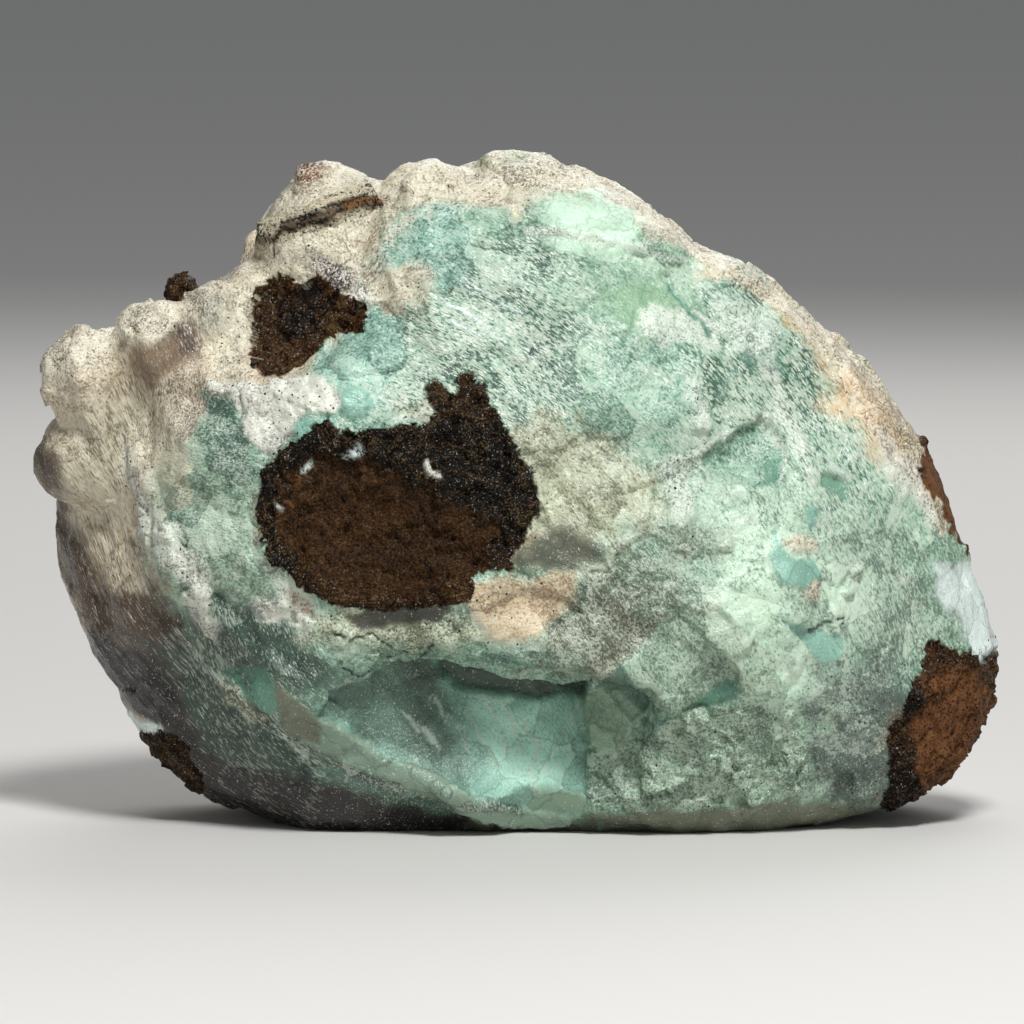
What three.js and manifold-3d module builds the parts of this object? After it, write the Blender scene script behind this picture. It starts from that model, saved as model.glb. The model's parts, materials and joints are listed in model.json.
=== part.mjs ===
// A rough lump of green apophyllite, 120 mm wide, broken across its front.
// Massive green apophyllite fills the broken face. A cream stilbite crust wraps its left end, its top,
// its right rim and its back, and ends in sheaves of flat crystals. Pieces of the dark basalt that the
// minerals grew on are still locked in both.
// Millimetres. +Z is up, -Y is the broken front, and the lump rests on a small flat at Z = 0.

import * as THREE from "three";
import { mergeVertices } from "three/addons/utils/BufferGeometryUtils.js";
import Module from "manifold-3d";

// Driving dimensions
const FRONT_DEPTH = 32;
const BACK_DEPTH = 33;
const HEART = new THREE.Vector3(0, 0, 38);
const CORE_HEART = new THREE.Vector3(0, -10, 38);
const CORE_FRONT_DEPTH = 70;
const CORE_BACK_DEPTH = 24;
const SEAT = 2.2;
const GAP = 0.32;
const FAR = 300;

// The lump as seen from the front, without its crystal ends: X and Z of each corner, clockwise from the left
const LUMP_OUTLINE = [
  [-59.2, 47.6], [-57.6, 53], [-54.6, 58.6], [-50.4, 59.6], [-47.4, 63], [-42.6, 63.4], [-38, 65.6],
  [-32, 69], [-29.6, 74], [-25, 78.4], [-19.5, 79.2], [-14.6, 78.8], [-7, 81.4], [-1, 82], [5.3, 81.8],
  [10.3, 79.4], [17.7, 75], [22.6, 70.7], [27.5, 69.8], [32.5, 67], [37.4, 61.8], [42.4, 57],
  [47.3, 51.4], [49.8, 47.6], [52.2, 41.6], [55.6, 33.2], [58, 28.4], [59.7, 24.5], [60, 20.4],
  [59.6, 15.6], [57.9, 11], [54.8, 6.8], [50.4, 3.6], [44.8, 1.6], [35, -0.6], [26, -SEAT], [0, -SEAT],
  [-20, -SEAT], [-30, 0.4], [-38, 3.4], [-42, 6.2], [-45, 10], [-48.6, 15.4], [-50.4, 19.6], [-53, 24.4],
  [-55.2, 29], [-56, 34], [-57.6, 39],
];

// Where green gives way to cream, seen from the front: the apophyllite lies inside this line
const CORE_OUTLINE = [
  [-13.2, 77], [-15, 68], [-18.4, 61.6], [-24.4, 56.8], [-34, 55.4], [-38.8, 53], [-40.6, 47], [-45, 42],
  [-45.4, 33], [-40.6, 25], [-41, 16], [-37, 7.4], [-31, 0], [-24, -8], [36, -8], [66, -4],
  [66, 30], [52, 35], [49, 42], [44.4, 50], [40.2, 56], [37, 60], [32.6, 64.4], [26.6, 67.8],
  [21.6, 69.2], [16, 72.6], [9.4, 76.6], [4, 78.4], [-1, 79], [-2, 75.4], [-6, 74.8], [-9, 77],
];

// Large flat breaks: a point that each plane passes through, and the way that it faces
const BREAKS = [
  { name: "main green face", through: [6, -27.4, 50], facing: [0.04, -0.95, 0.3] },
  { name: "upper right face", through: [30, -21.5, 50], facing: [0.36, -0.84, 0.38] },
  { name: "right face", through: [44, -19.5, 30], facing: [0.6, -0.79, 0.06] },
  { name: "lower right face", through: [32, -24, 12], facing: [0.3, -0.9, -0.34] },
  { name: "bottom front face", through: [-2, -24.6, 7], facing: [-0.08, -0.84, -0.54] },
  { name: "lower left face", through: [-34, -20.6, 18], facing: [-0.56, -0.74, -0.36] },
  { name: "left face", through: [-47, -13, 42], facing: [-0.82, -0.56, 0.1] },
  { name: "upper left face", through: [-34, -17, 60], facing: [-0.32, -0.74, 0.58] },
  { name: "flat of the large inclusion", through: [-14, -28.2, 42], facing: [-0.12, -0.99, 0.02] },
  { name: "top front face", through: [-4, -14, 76], facing: [-0.04, -0.5, 0.86] },
  { name: "top back face", through: [-6, 14, 74], facing: [-0.1, 0.56, 0.82] },
  { name: "upper back face", through: [8, 27, 52], facing: [0.12, 0.9, 0.4] },
  { name: "lower back face", through: [-8, 27, 18], facing: [-0.1, 0.88, -0.44] },
  { name: "left back face", through: [-42, 18, 40], facing: [-0.66, 0.74, 0.08] },
  { name: "right back face", through: [42, 17, 32], facing: [0.64, 0.74, 0.16] },
];
const BREAK_ROUNDING = 1.1;
const GRAZING = 0.05;

// Ribs of the radiating sheaves spread from one waist near the foot of the lump, up and to the left
const SHEAF_WAIST = new THREE.Vector3(-16, -2, -6);
const RIB_HEIGHT = 2;
const RIBS_PER_TURN = 11;

// Domed lobes of the crust on the back and the left end
const LOBE_SIZE = 15;
const LOBE_HEIGHT = 5;

// Basalt pieces: centre, outline round that centre in X and Z, depth each way, and how far each stands proud
const BASALTS = [
  {
    name: "basalt_inclusion", centre: [-14, -24, 40], outline: [
      [-17.4, -2], [-16.6, 5], [-12.6, 9], [-9, 11.4], [-6.2, 10.8], [-1, 12], [4.6, 13], [3.4, 15.6],
      [5.2, 16.4], [7.6, 18.4], [9.4, 15], [12, 12.8], [13.8, 8], [16.8, 4.6], [18, 2], [15.6, -1.8],
      [14.8, -4.4], [8.4, -7.4], [7.4, -9.4], [3.8, -11.6], [-4, -10.6], [-9.6, -9.6], [-12.6, -7],
      [-16, -4.6],
    ], front: 16, back: 9, proud: 1.1, detail: 4,
  },
  {
    name: "basalt_upper_inclusion", centre: [-26.2, -16, 62.2], outline: [
      [-6, 3], [-2.4, 5.2], [2, 4.8], [5.2, 3], [7.2, -1.4], [3.2, -2.8], [0, -5.8], [-4, -6], [-5.6, -3],
    ], front: 18, back: 8, proud: -2.4, detail: 3,
  },
  {
    name: "basalt_corner", centre: [53, 0, 11], outline: [
      [-6.8, -1], [-6.6, 3.6], [-3.6, 7], [-2.2, 13.4], [-1, 15.2], [0.8, 11.6], [3, 9.2], [6, 10.6],
      [14, 12], [16, -6], [4, -14], [-6, -12], [-8.2, -9.4], [-6.6, -5.6],
    ], front: 40, back: 17, proud: 0.5, detail: 3,
  },
  {
    name: "basalt_rim_slab", centre: [53.4, 4, 40], outline: [
      [-4, 8.6], [-2.8, 3], [-1.4, -1], [0.6, -5.2], [2.2, -7.4], [8, -8], [10, 6], [2, 12],
    ], front: 17, back: 15, proud: 0.7, detail: 3,
  },
  {
    name: "basalt_foot_chip", centre: [-42.4, -6, 8.2], outline: [
      [-6, 0], [-2.4, 3.4], [0.6, 3.6], [2.2, 0.4], [3.6, -3.6], [0, -5], [-4, -4],
    ], front: 12, back: 7, proud: 0.3, detail: 2,
  },
  {
    name: "basalt_back_patch", centre: [8, 24, 26], outline: [
      [-25, -6], [-23, 6], [-14, 12], [-4, 15], [6, 12], [16, 15], [25, 8], [27, -4], [18, -14], [4, -13],
      [-8, -16], [-19, -13],
    ], front: 7, back: 20, proud: 1.4, detail: 2,
  },
];

// Crystal sheaves on the crust, fluted round their sides
const SHEAF_SIDES = 12;
const SHEAF_FLUTE = 0.07;
const SHEAF_PROFILE = [[0, -0.6], [0.26, -0.6], [0.4, 0.1], [0.5, 0.62], [0.42, 0.84], [0.2, 0.96], [0, 1]];

// Each sheaf: its root, the way it points, and its length, width and depth
const SHEAVES = [
  { name: "far left", root: [-49.6, -8, 48], points: [-0.32, -0.14, 1], size: [14, 13, 13] },
  { name: "far left flank", root: [-48.6, -6, 42], points: [-1, -0.2, 0.86], size: [11.2, 13, 13] },
  { name: "second", root: [-41.6, -11, 52], points: [-0.3, -0.2, 1], size: [13.8, 10.5, 11] },
  { name: "third", root: [-36.6, -10, 55], points: [-0.1, -0.14, 1], size: [12.6, 8.5, 10] },
  { name: "fourth", root: [-31, -8, 58], points: [-0.16, -0.06, 1], size: [11.6, 8.5, 10] },
  { name: "top ledge left", root: [-9.6, -5, 73], points: [-0.14, -0.06, 1], size: [9.2, 12, 11] },
  { name: "top ledge right", root: [0.4, -3, 74], points: [0.08, 0.02, 1], size: [9, 14, 12] },
  { name: "back crest left", root: [-38, 9, 48], points: [-0.4, 0.4, 1], size: [15, 14, 13] },
  { name: "back crest middle", root: [-24, 9, 60], points: [-0.2, 0.4, 1], size: [15, 15, 14] },
];

// The round knob at the top left, its seam of basalt, and the bead of basalt on the crest
const KNOB = { centre: [-23.6, -4.5, 71.4], reach: [8, 9.5, 10], lean: 0.22 };
const SEAM_PATH = [
  [-31.2, -9.2, 73.6], [-28, -12.4, 74.4], [-24.4, -13.2, 76], [-20.6, -12.4, 77.6], [-17.4, -9.6, 78.2],
];
const SEAM_HALF_WIDTH = 0.95;
const SEAM_SECTION = [[-1.5, -0.7], [-0.4, -1], [1.3, -0.6], [1.6, 0.4], [0.3, 1], [-1.2, 0.8]];
const BEAD = { centre: [-41, -5.4, 66.6], reach: 1.9 };

// The scooped hollow under the ledge, low on the front
const SCOOP = { centre: [8, -30.5, 18.8], reach: [36, 7.6, 15.4], tip: 0.46 };
const SCOOP_ROOF = { through: [0, 0, 18.8], facing: [0.16, 0.12, 1] };
const SCOOP_END = { through: [9.6, 0, 10], facing: [1, 0.3, 0] };

// Steps left by the break, as seen from the front: each line has its lower side on its right
const STEPS = [
  { name: "under the right rim", line: [[14, 76], [22, 69.6], [33, 63], [38, 56]], drop: 1.5, fade: 9 },
  { name: "edge of the raised panel", line: [[34, 50.6], [28.4, 46.4], [22.6, 42]], drop: 1.5, fade: 11 },
  { name: "upright ridge", line: [[23, 55], [22.4, 47], [21.4, 38.6]], drop: -1.2, fade: 7 },
  { name: "upper left green panel", line: [[-13.4, 66], [-14.4, 71], [-12, 76.4]], drop: -1.1, fade: 8 },
  { name: "notched plate", line: [[8, 29.6], [20.6, 25.6], [28.6, 17.2], [26, 8]], drop: 1.6, fade: 9 },
  { name: "foot of the left fan", line: [[-36, 24], [-26, 15], [-10, 6]], drop: 1.3, fade: 7 },
];
const STEP_CREST = 1.5;

// Relief of the broken faces: soft lumps, then small tilted flats
const LUMPS = [{ size: 17, height: 1.1, seed: 1 }, { size: 6, height: 0.45, seed: 2 }];
const CHIPS = [{ size: 13, tilt: 0.34, seed: 3 }, { size: 7, tilt: 0.2, seed: 9 }];

// The relief fades by this share at the silhouette, which the outline already gives
const CALM_SHARE = 0.72;
const CALM_RIM = [0.86, 0.99];

// Where the crust's own growth shows, as distances left of and behind the middle: from none to all of it
const LEFT_END = [36, 46];
const REAR = [6, 16];
const FRONT = [6, 14];

// How round the bodies are between outline and depth: 2 is an ellipsoid, and higher is boxier
const LUMP_SQUARENESS = 3.2;
const CORE_SQUARENESS = 4;
const BASALT_SQUARENESS = 5;
const LUMP_DETAIL = 10;
const CORE_DETAIL = 5;

const wasm = await Module();
wasm.setup();

const { smoothstep, clamp } = THREE.MathUtils;

// Repeatable value between 0 and 1 for a lattice corner
function lattice(x, y, z, seed) {
  const s = Math.sin(x * 127.1 + y * 311.7 + z * 74.7 + seed * 53.3) * 43758.5453;
  return s - Math.floor(s);
}

// Smooth noise from -1 to 1 whose lumps are about `size` millimetres
function noise(p, size, seed) {
  const cell = [p.x / size, p.y / size, p.z / size];
  const low = cell.map(Math.floor);
  const ease = cell.map((c, i) => {
    const f = c - low[i];
    return f * f * (3 - 2 * f);
  });
  let sum = 0;
  for (let corner = 0; corner < 8; corner++) {
    const step = [corner & 1, (corner >> 1) & 1, corner >> 2];
    const weight = step.reduce((w, s, i) => w * (s ? ease[i] : 1 - ease[i]), 1);
    sum += weight * lattice(low[0] + step[0], low[1] + step[1], low[2] + step[2], seed);
  }
  return 2 * sum - 1;
}

// The scattered seed nearest to p, with about one seed to each cube of `size` millimetres
function nearestSeed(p, size, seed) {
  const home = [p.x, p.y, p.z].map((c) => Math.floor(c / size));
  let found = { distance: Infinity };
  for (let i = -1; i <= 1; i++)
    for (let j = -1; j <= 1; j++)
      for (let k = -1; k <= 1; k++) {
        const cell = [home[0] + i, home[1] + j, home[2] + k];
        const away = cell.map((n, axis) => (n + lattice(...cell, seed + axis)) * size - p.getComponent(axis));
        const distance = Math.hypot(...away);
        if (distance < found.distance) found = { cell, away, distance };
      }
  return found;
}

// Small tilted flats, as a brittle mineral breaks: height of the flat that p lies on
function chips(p, size, tilt, seed) {
  const { cell, away } = nearestSeed(p, size, seed);
  return tilt * away.reduce((sum, a, axis) => sum + a * (lattice(...cell, seed + 5 + axis) - 0.5), 0);
}

// Rounded lobes side by side, as sheaves end in a crust: height of the lobe that p lies on
function lobes(p, size, height, seed) {
  const share = nearestSeed(p, size, seed).distance / size;
  return height * (0.5 - share * share);
}

// How far a ray at `angle` in the X Z plane runs before it leaves an outline given round its centre
function outlineReach(outline, angle) {
  const dx = Math.cos(angle);
  const dz = Math.sin(angle);
  let reach = 0;
  outline.forEach(([ax, az], i) => {
    const [bx, bz] = outline[(i + 1) % outline.length];
    const ex = bx - ax;
    const ez = bz - az;
    const across = dx * ez - dz * ex;
    if (Math.abs(across) < 1e-9) return;
    const along = (ax * ez - az * ex) / across;
    const share = (ax * dz - az * dx) / across;
    if (along > 0 && share >= -1e-6 && share <= 1 + 1e-6) reach = Math.max(reach, along);
  });
  return reach;
}

// A closed body round `centre`: its outline from the front, its depth towards -Y and +Y, and its relief
function body({ centre, outline, front, back, squareness, detail, shape = (d, reach) => reach }) {
  const ball = new THREE.IcosahedronGeometry(1, detail);
  ball.deleteAttribute("normal");
  ball.deleteAttribute("uv");
  const geometry = mergeVertices(ball, 1e-4);
  const at = geometry.getAttribute("position");
  const direction = new THREE.Vector3();
  for (let i = 0; i < at.count; i++) {
    direction.fromBufferAttribute(at, i).normalize();
    const across = Math.max(Math.hypot(direction.x, direction.z), 1e-6);
    const toOutline = outlineReach(outline, Math.atan2(direction.z, direction.x)) / across;
    const depth = direction.y < 0 ? front : back;
    const toDepth = depth / Math.max(Math.abs(direction.y), 1e-6);
    const reach = (toOutline ** -squareness + toDepth ** -squareness) ** (-1 / squareness);
    const p = direction.clone().multiplyScalar(shape(direction, reach)).add(centre);
    at.setXYZ(i, p.x, p.y, p.z);
  }
  return geometry;
}

// Turns a closed geometry into a solid that can be joined and cut
function solidOf(geometry) {
  for (const name of Object.keys(geometry.attributes))
    if (name !== "position") geometry.deleteAttribute(name);
  const merged = mergeVertices(geometry, 1e-4);
  return new wasm.Manifold(
    new wasm.Mesh({
      numProp: 3,
      vertProperties: new Float32Array(merged.getAttribute("position").array),
      triVerts: new Uint32Array(merged.index.array),
    }),
  );
}

// The largest separate body of a solid, as a geometry
function geometryOf(solid) {
  const whole = solid.decompose().reduce((a, b) => (a.volume() > b.volume() ? a : b));
  const mesh = whole.getMesh();
  const positions = new Float32Array(mesh.numVert * 3);
  for (let i = 0; i < mesh.numVert; i++)
    positions.set(mesh.vertProperties.subarray(i * mesh.numProp, i * mesh.numProp + 3), i * 3);
  const geometry = new THREE.BufferGeometry();
  geometry.setAttribute("position", new THREE.BufferAttribute(positions, 3));
  geometry.setIndex(new THREE.BufferAttribute(mesh.triVerts, 1));
  geometry.computeVertexNormals();
  return geometry;
}

// Everything behind a plane, as a block far larger than the lump
function behind({ through, facing }) {
  const normal = new THREE.Vector3(...facing).normalize();
  const block = new THREE.BoxGeometry(FAR, FAR, FAR);
  block.translate(0, 0, -FAR / 2);
  block.applyQuaternion(new THREE.Quaternion().setFromUnitVectors(new THREE.Vector3(0, 0, 1), normal));
  block.translate(...through);
  return solidOf(block);
}

// Distance along a ray from the heart to the nearest large break, rounded where two breaks meet
function cutByBreaks(direction, reach) {
  let sum = Math.exp(-reach / BREAK_ROUNDING);
  for (const { through, facing } of BREAKS) {
    const normal = new THREE.Vector3(...facing).normalize();
    const slope = normal.dot(direction);
    if (slope < GRAZING) continue;
    const toPlane = normal.dot(new THREE.Vector3(...through).sub(HEART)) / slope;
    sum += Math.exp(-toPlane / BREAK_ROUNDING);
  }
  return -BREAK_ROUNDING * Math.log(sum);
}

// Signed depth of the steps at p, which counts only on the broken front
function steps(p) {
  let sum = 0;
  for (const { line, drop, fade } of STEPS) {
    let nearest = Infinity;
    let side = 0;
    line.slice(1).forEach(([bx, bz], i) => {
      const [ax, az] = line[i];
      const length = Math.hypot(bx - ax, bz - az);
      const ux = (bx - ax) / length;
      const uz = (bz - az) / length;
      const along = clamp((p.x - ax) * ux + (p.z - az) * uz, 0, length);
      const distance = Math.hypot(p.x - ax - along * ux, p.z - az - along * uz);
      if (distance >= nearest) return;
      nearest = distance;
      side = (p.x - ax) * -uz + (p.z - az) * ux < 0 ? 1 : 0;
    });
    sum -= drop * side * (1 - smoothstep(nearest, STEP_CREST, fade));
  }
  return sum * smoothstep(-p.y, ...FRONT);
}

// How strongly the sheaves and lobes show at p: fully on the left end and the back, not on the green face
function grownShare(p) {
  return Math.max(smoothstep(-p.x, ...LEFT_END), smoothstep(p.y, ...REAR));
}

// Relief of the lump's skin at p
function relief(p) {
  const ribs = noise(p.clone().sub(SHEAF_WAIST).normalize().multiplyScalar(RIBS_PER_TURN), 1, 21);
  const grown = RIB_HEIGHT * ribs + lobes(p, LOBE_SIZE, LOBE_HEIGHT, 27);
  const lumps = LUMPS.reduce((sum, { size, height, seed }) => sum + height * noise(p, size, seed), 0);
  const flats = CHIPS.reduce((sum, { size, tilt, seed }) => sum + chips(p, size, tilt, seed), 0);
  return lumps + flats + steps(p) + grownShare(p) * grown;
}

// The whole lump, grown or shrunk by `grow`, standing on its flat
function wholeLump(grow) {
  const outline = LUMP_OUTLINE.map(([x, z]) => [x - HEART.x, z - HEART.z]);
  const shape = (direction, reach) => {
    const cut = cutByBreaks(direction, reach);
    const p = direction.clone().multiplyScalar(cut).add(HEART);
    const calm = CALM_SHARE * smoothstep(Math.hypot(direction.x, direction.z), ...CALM_RIM);
    return cut + relief(p) * (1 - calm) + grow;
  };
  return solidOf(
    body({
      centre: HEART, outline, front: FRONT_DEPTH, back: BACK_DEPTH,
      squareness: LUMP_SQUARENESS, detail: LUMP_DETAIL, shape,
    }),
  );
}

// The room that the apophyllite fills, grown by `grow`: open to the front, closed towards the back
function coreRoom(grow) {
  const outline = CORE_OUTLINE.map(([x, z]) => [x - CORE_HEART.x, z - CORE_HEART.z]);
  const shape = (direction, reach) => {
    const p = direction.clone().multiplyScalar(reach).add(CORE_HEART);
    return reach + 0.9 * noise(p, 9, 31) + grow;
  };
  return solidOf(
    body({
      centre: CORE_HEART, outline, front: CORE_FRONT_DEPTH, back: CORE_BACK_DEPTH,
      squareness: CORE_SQUARENESS, detail: CORE_DETAIL, shape,
    }),
  );
}

// One basalt piece before it is trimmed to the lump, grown by `grow`
function basaltRoom({ centre, outline, front, back, detail }, grow) {
  const middle = new THREE.Vector3(...centre);
  const shape = (direction, reach) => {
    const p = direction.clone().multiplyScalar(reach).add(middle);
    return reach + 0.5 * noise(p, 3.5, 41) + grow;
  };
  const squareness = BASALT_SQUARENESS;
  return solidOf(body({ centre: middle, outline, front, back, squareness, detail, shape }));
}

// A sheaf: crystals packed side by side that flare from a narrow root to a ribbed, domed and ragged end
function sheaf({ root, points, size }, seed) {
  const [length, width, depth] = size;
  const turned = new THREE.LatheGeometry(SHEAF_PROFILE.map(([r, h]) => new THREE.Vector2(r, h)), SHEAF_SIDES);
  turned.deleteAttribute("normal");
  turned.deleteAttribute("uv");
  const fluted = mergeVertices(turned, 1e-4);
  const at = fluted.getAttribute("position");
  for (let i = 0; i < at.count; i++) {
    const side = Math.round((Math.atan2(at.getZ(i), at.getX(i)) * SHEAF_SIDES) / (2 * Math.PI));
    const rib = 1 + (side % 2 ? -SHEAF_FLUTE : SHEAF_FLUTE) + 0.16 * (lattice(side, 0, 0, seed) - 0.5);
    const ragged = at.getY(i) > 0.5 ? 0.16 * (lattice(side, 1, 0, seed) - 0.5) : 0;
    at.setXYZ(i, at.getX(i) * rib * width, (at.getY(i) + ragged) * length, at.getZ(i) * rib * depth);
  }
  const aim = new THREE.Vector3(...points).normalize();
  fluted.applyQuaternion(new THREE.Quaternion().setFromUnitVectors(new THREE.Vector3(0, 1, 0), aim));
  fluted.translate(...root);
  return solidOf(fluted);
}

// A lumpy ball with its own reach along X, Y and Z
function pebble({ centre, reach, lean = 0, tip = 0 }, detail, roughness, seed) {
  const ball = new THREE.IcosahedronGeometry(1, detail);
  ball.deleteAttribute("normal");
  ball.deleteAttribute("uv");
  const geometry = mergeVertices(ball, 1e-4);
  const at = geometry.getAttribute("position");
  const p = new THREE.Vector3();
  for (let i = 0; i < at.count; i++) {
    p.fromBufferAttribute(at, i);
    p.multiplyScalar(1 + roughness * noise(p, 0.55, seed));
    at.setXYZ(i, p.x, p.y, p.z);
  }
  geometry.scale(...reach);
  geometry.rotateX(tip);
  geometry.rotateY(lean);
  geometry.translate(...centre);
  return solidOf(geometry);
}

// The thin seam of basalt that crosses the knob
function seam(grow) {
  const path = new THREE.CatmullRomCurve3(SEAM_PATH.map((p) => new THREE.Vector3(...p)));
  const r = SEAM_HALF_WIDTH + grow;
  const section = new THREE.Shape(SEAM_SECTION.map(([x, y]) => new THREE.Vector2(x * r, y * r)));
  return solidOf(new THREE.ExtrudeGeometry(section, { extrudePath: path, steps: 8, bevelEnabled: false }));
}

// The scooped hollow: an egg-shaped bite with a straight roof and a straight right-hand end
function scoop() {
  const bite = pebble(SCOOP, 5, 0.05, 51);
  return bite.intersect(behind(SCOOP_ROOF)).intersect(behind(SCOOP_END));
}

const FINISHES = {
  apophyllite: new THREE.MeshStandardMaterial({ color: 0x9cc4ae, roughness: 0.45, metalness: 0 }),
  stilbite: new THREE.MeshStandardMaterial({ color: 0xdcd0b4, roughness: 0.5, metalness: 0 }),
  basalt: new THREE.MeshStandardMaterial({ color: 0x3a2a1c, roughness: 0.85, metalness: 0 }),
};

function buildSpecimen() {
  const specimen = new THREE.Group();
  specimen.name = "rough_apophyllite";
  const put = (name, solid, finish) => {
    const mesh = new THREE.Mesh(geometryOf(solid), FINISHES[finish]);
    mesh.name = name;
    specimen.add(mesh);
  };

  const ground = behind({ through: [0, 0, 0], facing: [0, 0, -1] });
  const lump = wholeLump(0).intersect(ground);
  let crust = SHEAVES.reduce((all, s, i) => all.add(sheaf(s, i)), lump).add(pebble(KNOB, 3, 0.12, 61));
  crust = crust.intersect(ground).subtract(coreRoom(GAP));
  let core = lump.intersect(coreRoom(0)).subtract(scoop());

  for (const piece of BASALTS) {
    const pocket = basaltRoom(piece, GAP);
    crust = crust.subtract(pocket);
    core = core.subtract(pocket);
    put(piece.name, basaltRoom(piece, 0).intersect(wholeLump(piece.proud)).intersect(ground), "basalt");
  }
  const bead = pebble({ centre: BEAD.centre, reach: Array(3).fill(BEAD.reach) }, 2, 0.25, 71);
  const beadSeat = pebble({ centre: BEAD.centre, reach: Array(3).fill(BEAD.reach + GAP) }, 2, 0.25, 71);
  put("basalt_bead", bead, "basalt");
  put("basalt_seam", seam(0), "basalt");
  crust = crust.subtract(beadSeat).subtract(seam(GAP));

  put("stilbite_crust", crust, "stilbite");
  put("apophyllite_mass", core, "apophyllite");

  const box = new THREE.Box3().setFromObject(specimen);
  const middle = box.getCenter(new THREE.Vector3());
  specimen.position.set(-middle.x, -middle.y, 0);
  return specimen;
}

export default buildSpecimen();
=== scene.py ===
"""The looks of a rough lump of green apophyllite in its cream stilbite crust, with basalt locked in both.

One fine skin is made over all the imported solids. It is carved and painted as a whole, and then parted into
one closed piece for each grain, so that the green grades into the cream with no groove between them.
Sizes are in millimetres unless a name says otherwise, and the finished meshes are in metres.
"""

import json
import logging
import math
from collections import deque
from collections.abc import Callable
from dataclasses import dataclass, field, fields
from enum import Enum, IntEnum

import bpy
import numpy as np
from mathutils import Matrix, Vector
from mathutils.bvhtree import BVHTree

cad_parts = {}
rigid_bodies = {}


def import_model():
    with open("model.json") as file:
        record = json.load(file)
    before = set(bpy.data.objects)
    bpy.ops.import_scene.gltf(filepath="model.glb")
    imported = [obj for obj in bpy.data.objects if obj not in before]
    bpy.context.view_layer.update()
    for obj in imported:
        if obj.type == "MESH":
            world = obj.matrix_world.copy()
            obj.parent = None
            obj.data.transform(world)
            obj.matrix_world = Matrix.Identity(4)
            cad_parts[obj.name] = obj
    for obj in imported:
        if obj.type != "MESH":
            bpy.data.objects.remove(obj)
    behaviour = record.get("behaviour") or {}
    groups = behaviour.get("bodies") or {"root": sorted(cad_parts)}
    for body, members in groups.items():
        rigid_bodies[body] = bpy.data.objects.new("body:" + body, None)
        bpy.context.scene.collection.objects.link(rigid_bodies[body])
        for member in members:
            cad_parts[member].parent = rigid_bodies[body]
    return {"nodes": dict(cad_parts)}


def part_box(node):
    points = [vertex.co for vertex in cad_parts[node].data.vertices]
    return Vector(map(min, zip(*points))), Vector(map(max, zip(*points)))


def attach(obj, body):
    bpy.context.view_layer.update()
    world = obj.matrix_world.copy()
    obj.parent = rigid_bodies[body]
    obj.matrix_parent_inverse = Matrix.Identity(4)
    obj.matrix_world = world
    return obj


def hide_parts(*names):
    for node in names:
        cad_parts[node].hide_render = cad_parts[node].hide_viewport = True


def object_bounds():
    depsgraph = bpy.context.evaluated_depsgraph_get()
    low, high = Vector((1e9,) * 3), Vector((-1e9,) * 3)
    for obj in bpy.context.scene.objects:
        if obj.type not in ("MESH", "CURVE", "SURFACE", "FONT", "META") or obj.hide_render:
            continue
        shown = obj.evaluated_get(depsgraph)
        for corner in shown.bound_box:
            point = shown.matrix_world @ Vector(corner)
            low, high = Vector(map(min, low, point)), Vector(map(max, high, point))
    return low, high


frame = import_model()
CAD_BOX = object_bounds()

log = logging.getLogger("specimen")
Array = np.ndarray
Socket = bpy.types.NodeSocket
Rgb = tuple[int, int, int]
Pixel = tuple[float, float]

MM = 0.001
PICTURE_PIXELS = 1024
PIXELS_PER_MM = 8.0
VIEW_ELEVATION = math.radians(5)
PICTURE_CENTRE = (-0.6, 0.0, 37.9)


class Mineral(Enum):
    """The three minerals, each under the first word of the names of its imported nodes."""

    APOPHYLLITE = "apophyllite"
    STILBITE = "stilbite"
    BASALT = "basalt"

    @staticmethod
    def of_node(node: str) -> "Mineral":
        """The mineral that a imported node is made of."""
        return Mineral(node.split("_")[0])


CRYSTALS = (Mineral.APOPHYLLITE, Mineral.STILBITE)
CRUST_AND_ROCK = (Mineral.STILBITE, Mineral.BASALT)
ROCKS = (Mineral.BASALT,)
ALL_MINERALS = tuple(Mineral)


class Seed(IntEnum):
    """Which pattern each use of the noise shows."""

    BORDERS = 11
    FINE_BORDERS = 12
    SEEN = 31
    SHARP_SEEN = 41
    RAGGED = 45
    GROUND = 51
    DUSK = 54
    CONTACTS = 61
    RUST = 64
    BREAKS = 71
    BENT_BREAKS = 75
    BIG_FACES = 81
    SMALL_FACES = 91
    WAVES = 95
    ARCS = 101
    RIBS = 111
    FINE_RIBS = 112
    PITS = 121
    GRIT = 131


def smoothstep(value: Array, low: float, high: float) -> Array:
    """Runs smoothly from 0 at low to 1 at high.

    Args:
        value: Values to ease.
        low: Value that gives 0.
        high: Value that gives 1, which may be below low.

    Returns:
        The eased values, from 0 to 1.
    """
    share = np.clip((value - low) / (high - low), 0, 1)
    return share * share * (3 - 2 * share)


def linear(colour: Rgb) -> Array:
    """Turns a colour as seen on a screen, from 0 to 255, into the linear light that shaders mix."""
    share = np.array(colour) / 255
    return np.where(share <= 0.04045, share / 12.92, ((share + 0.055) / 1.055) ** 2.4)


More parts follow.
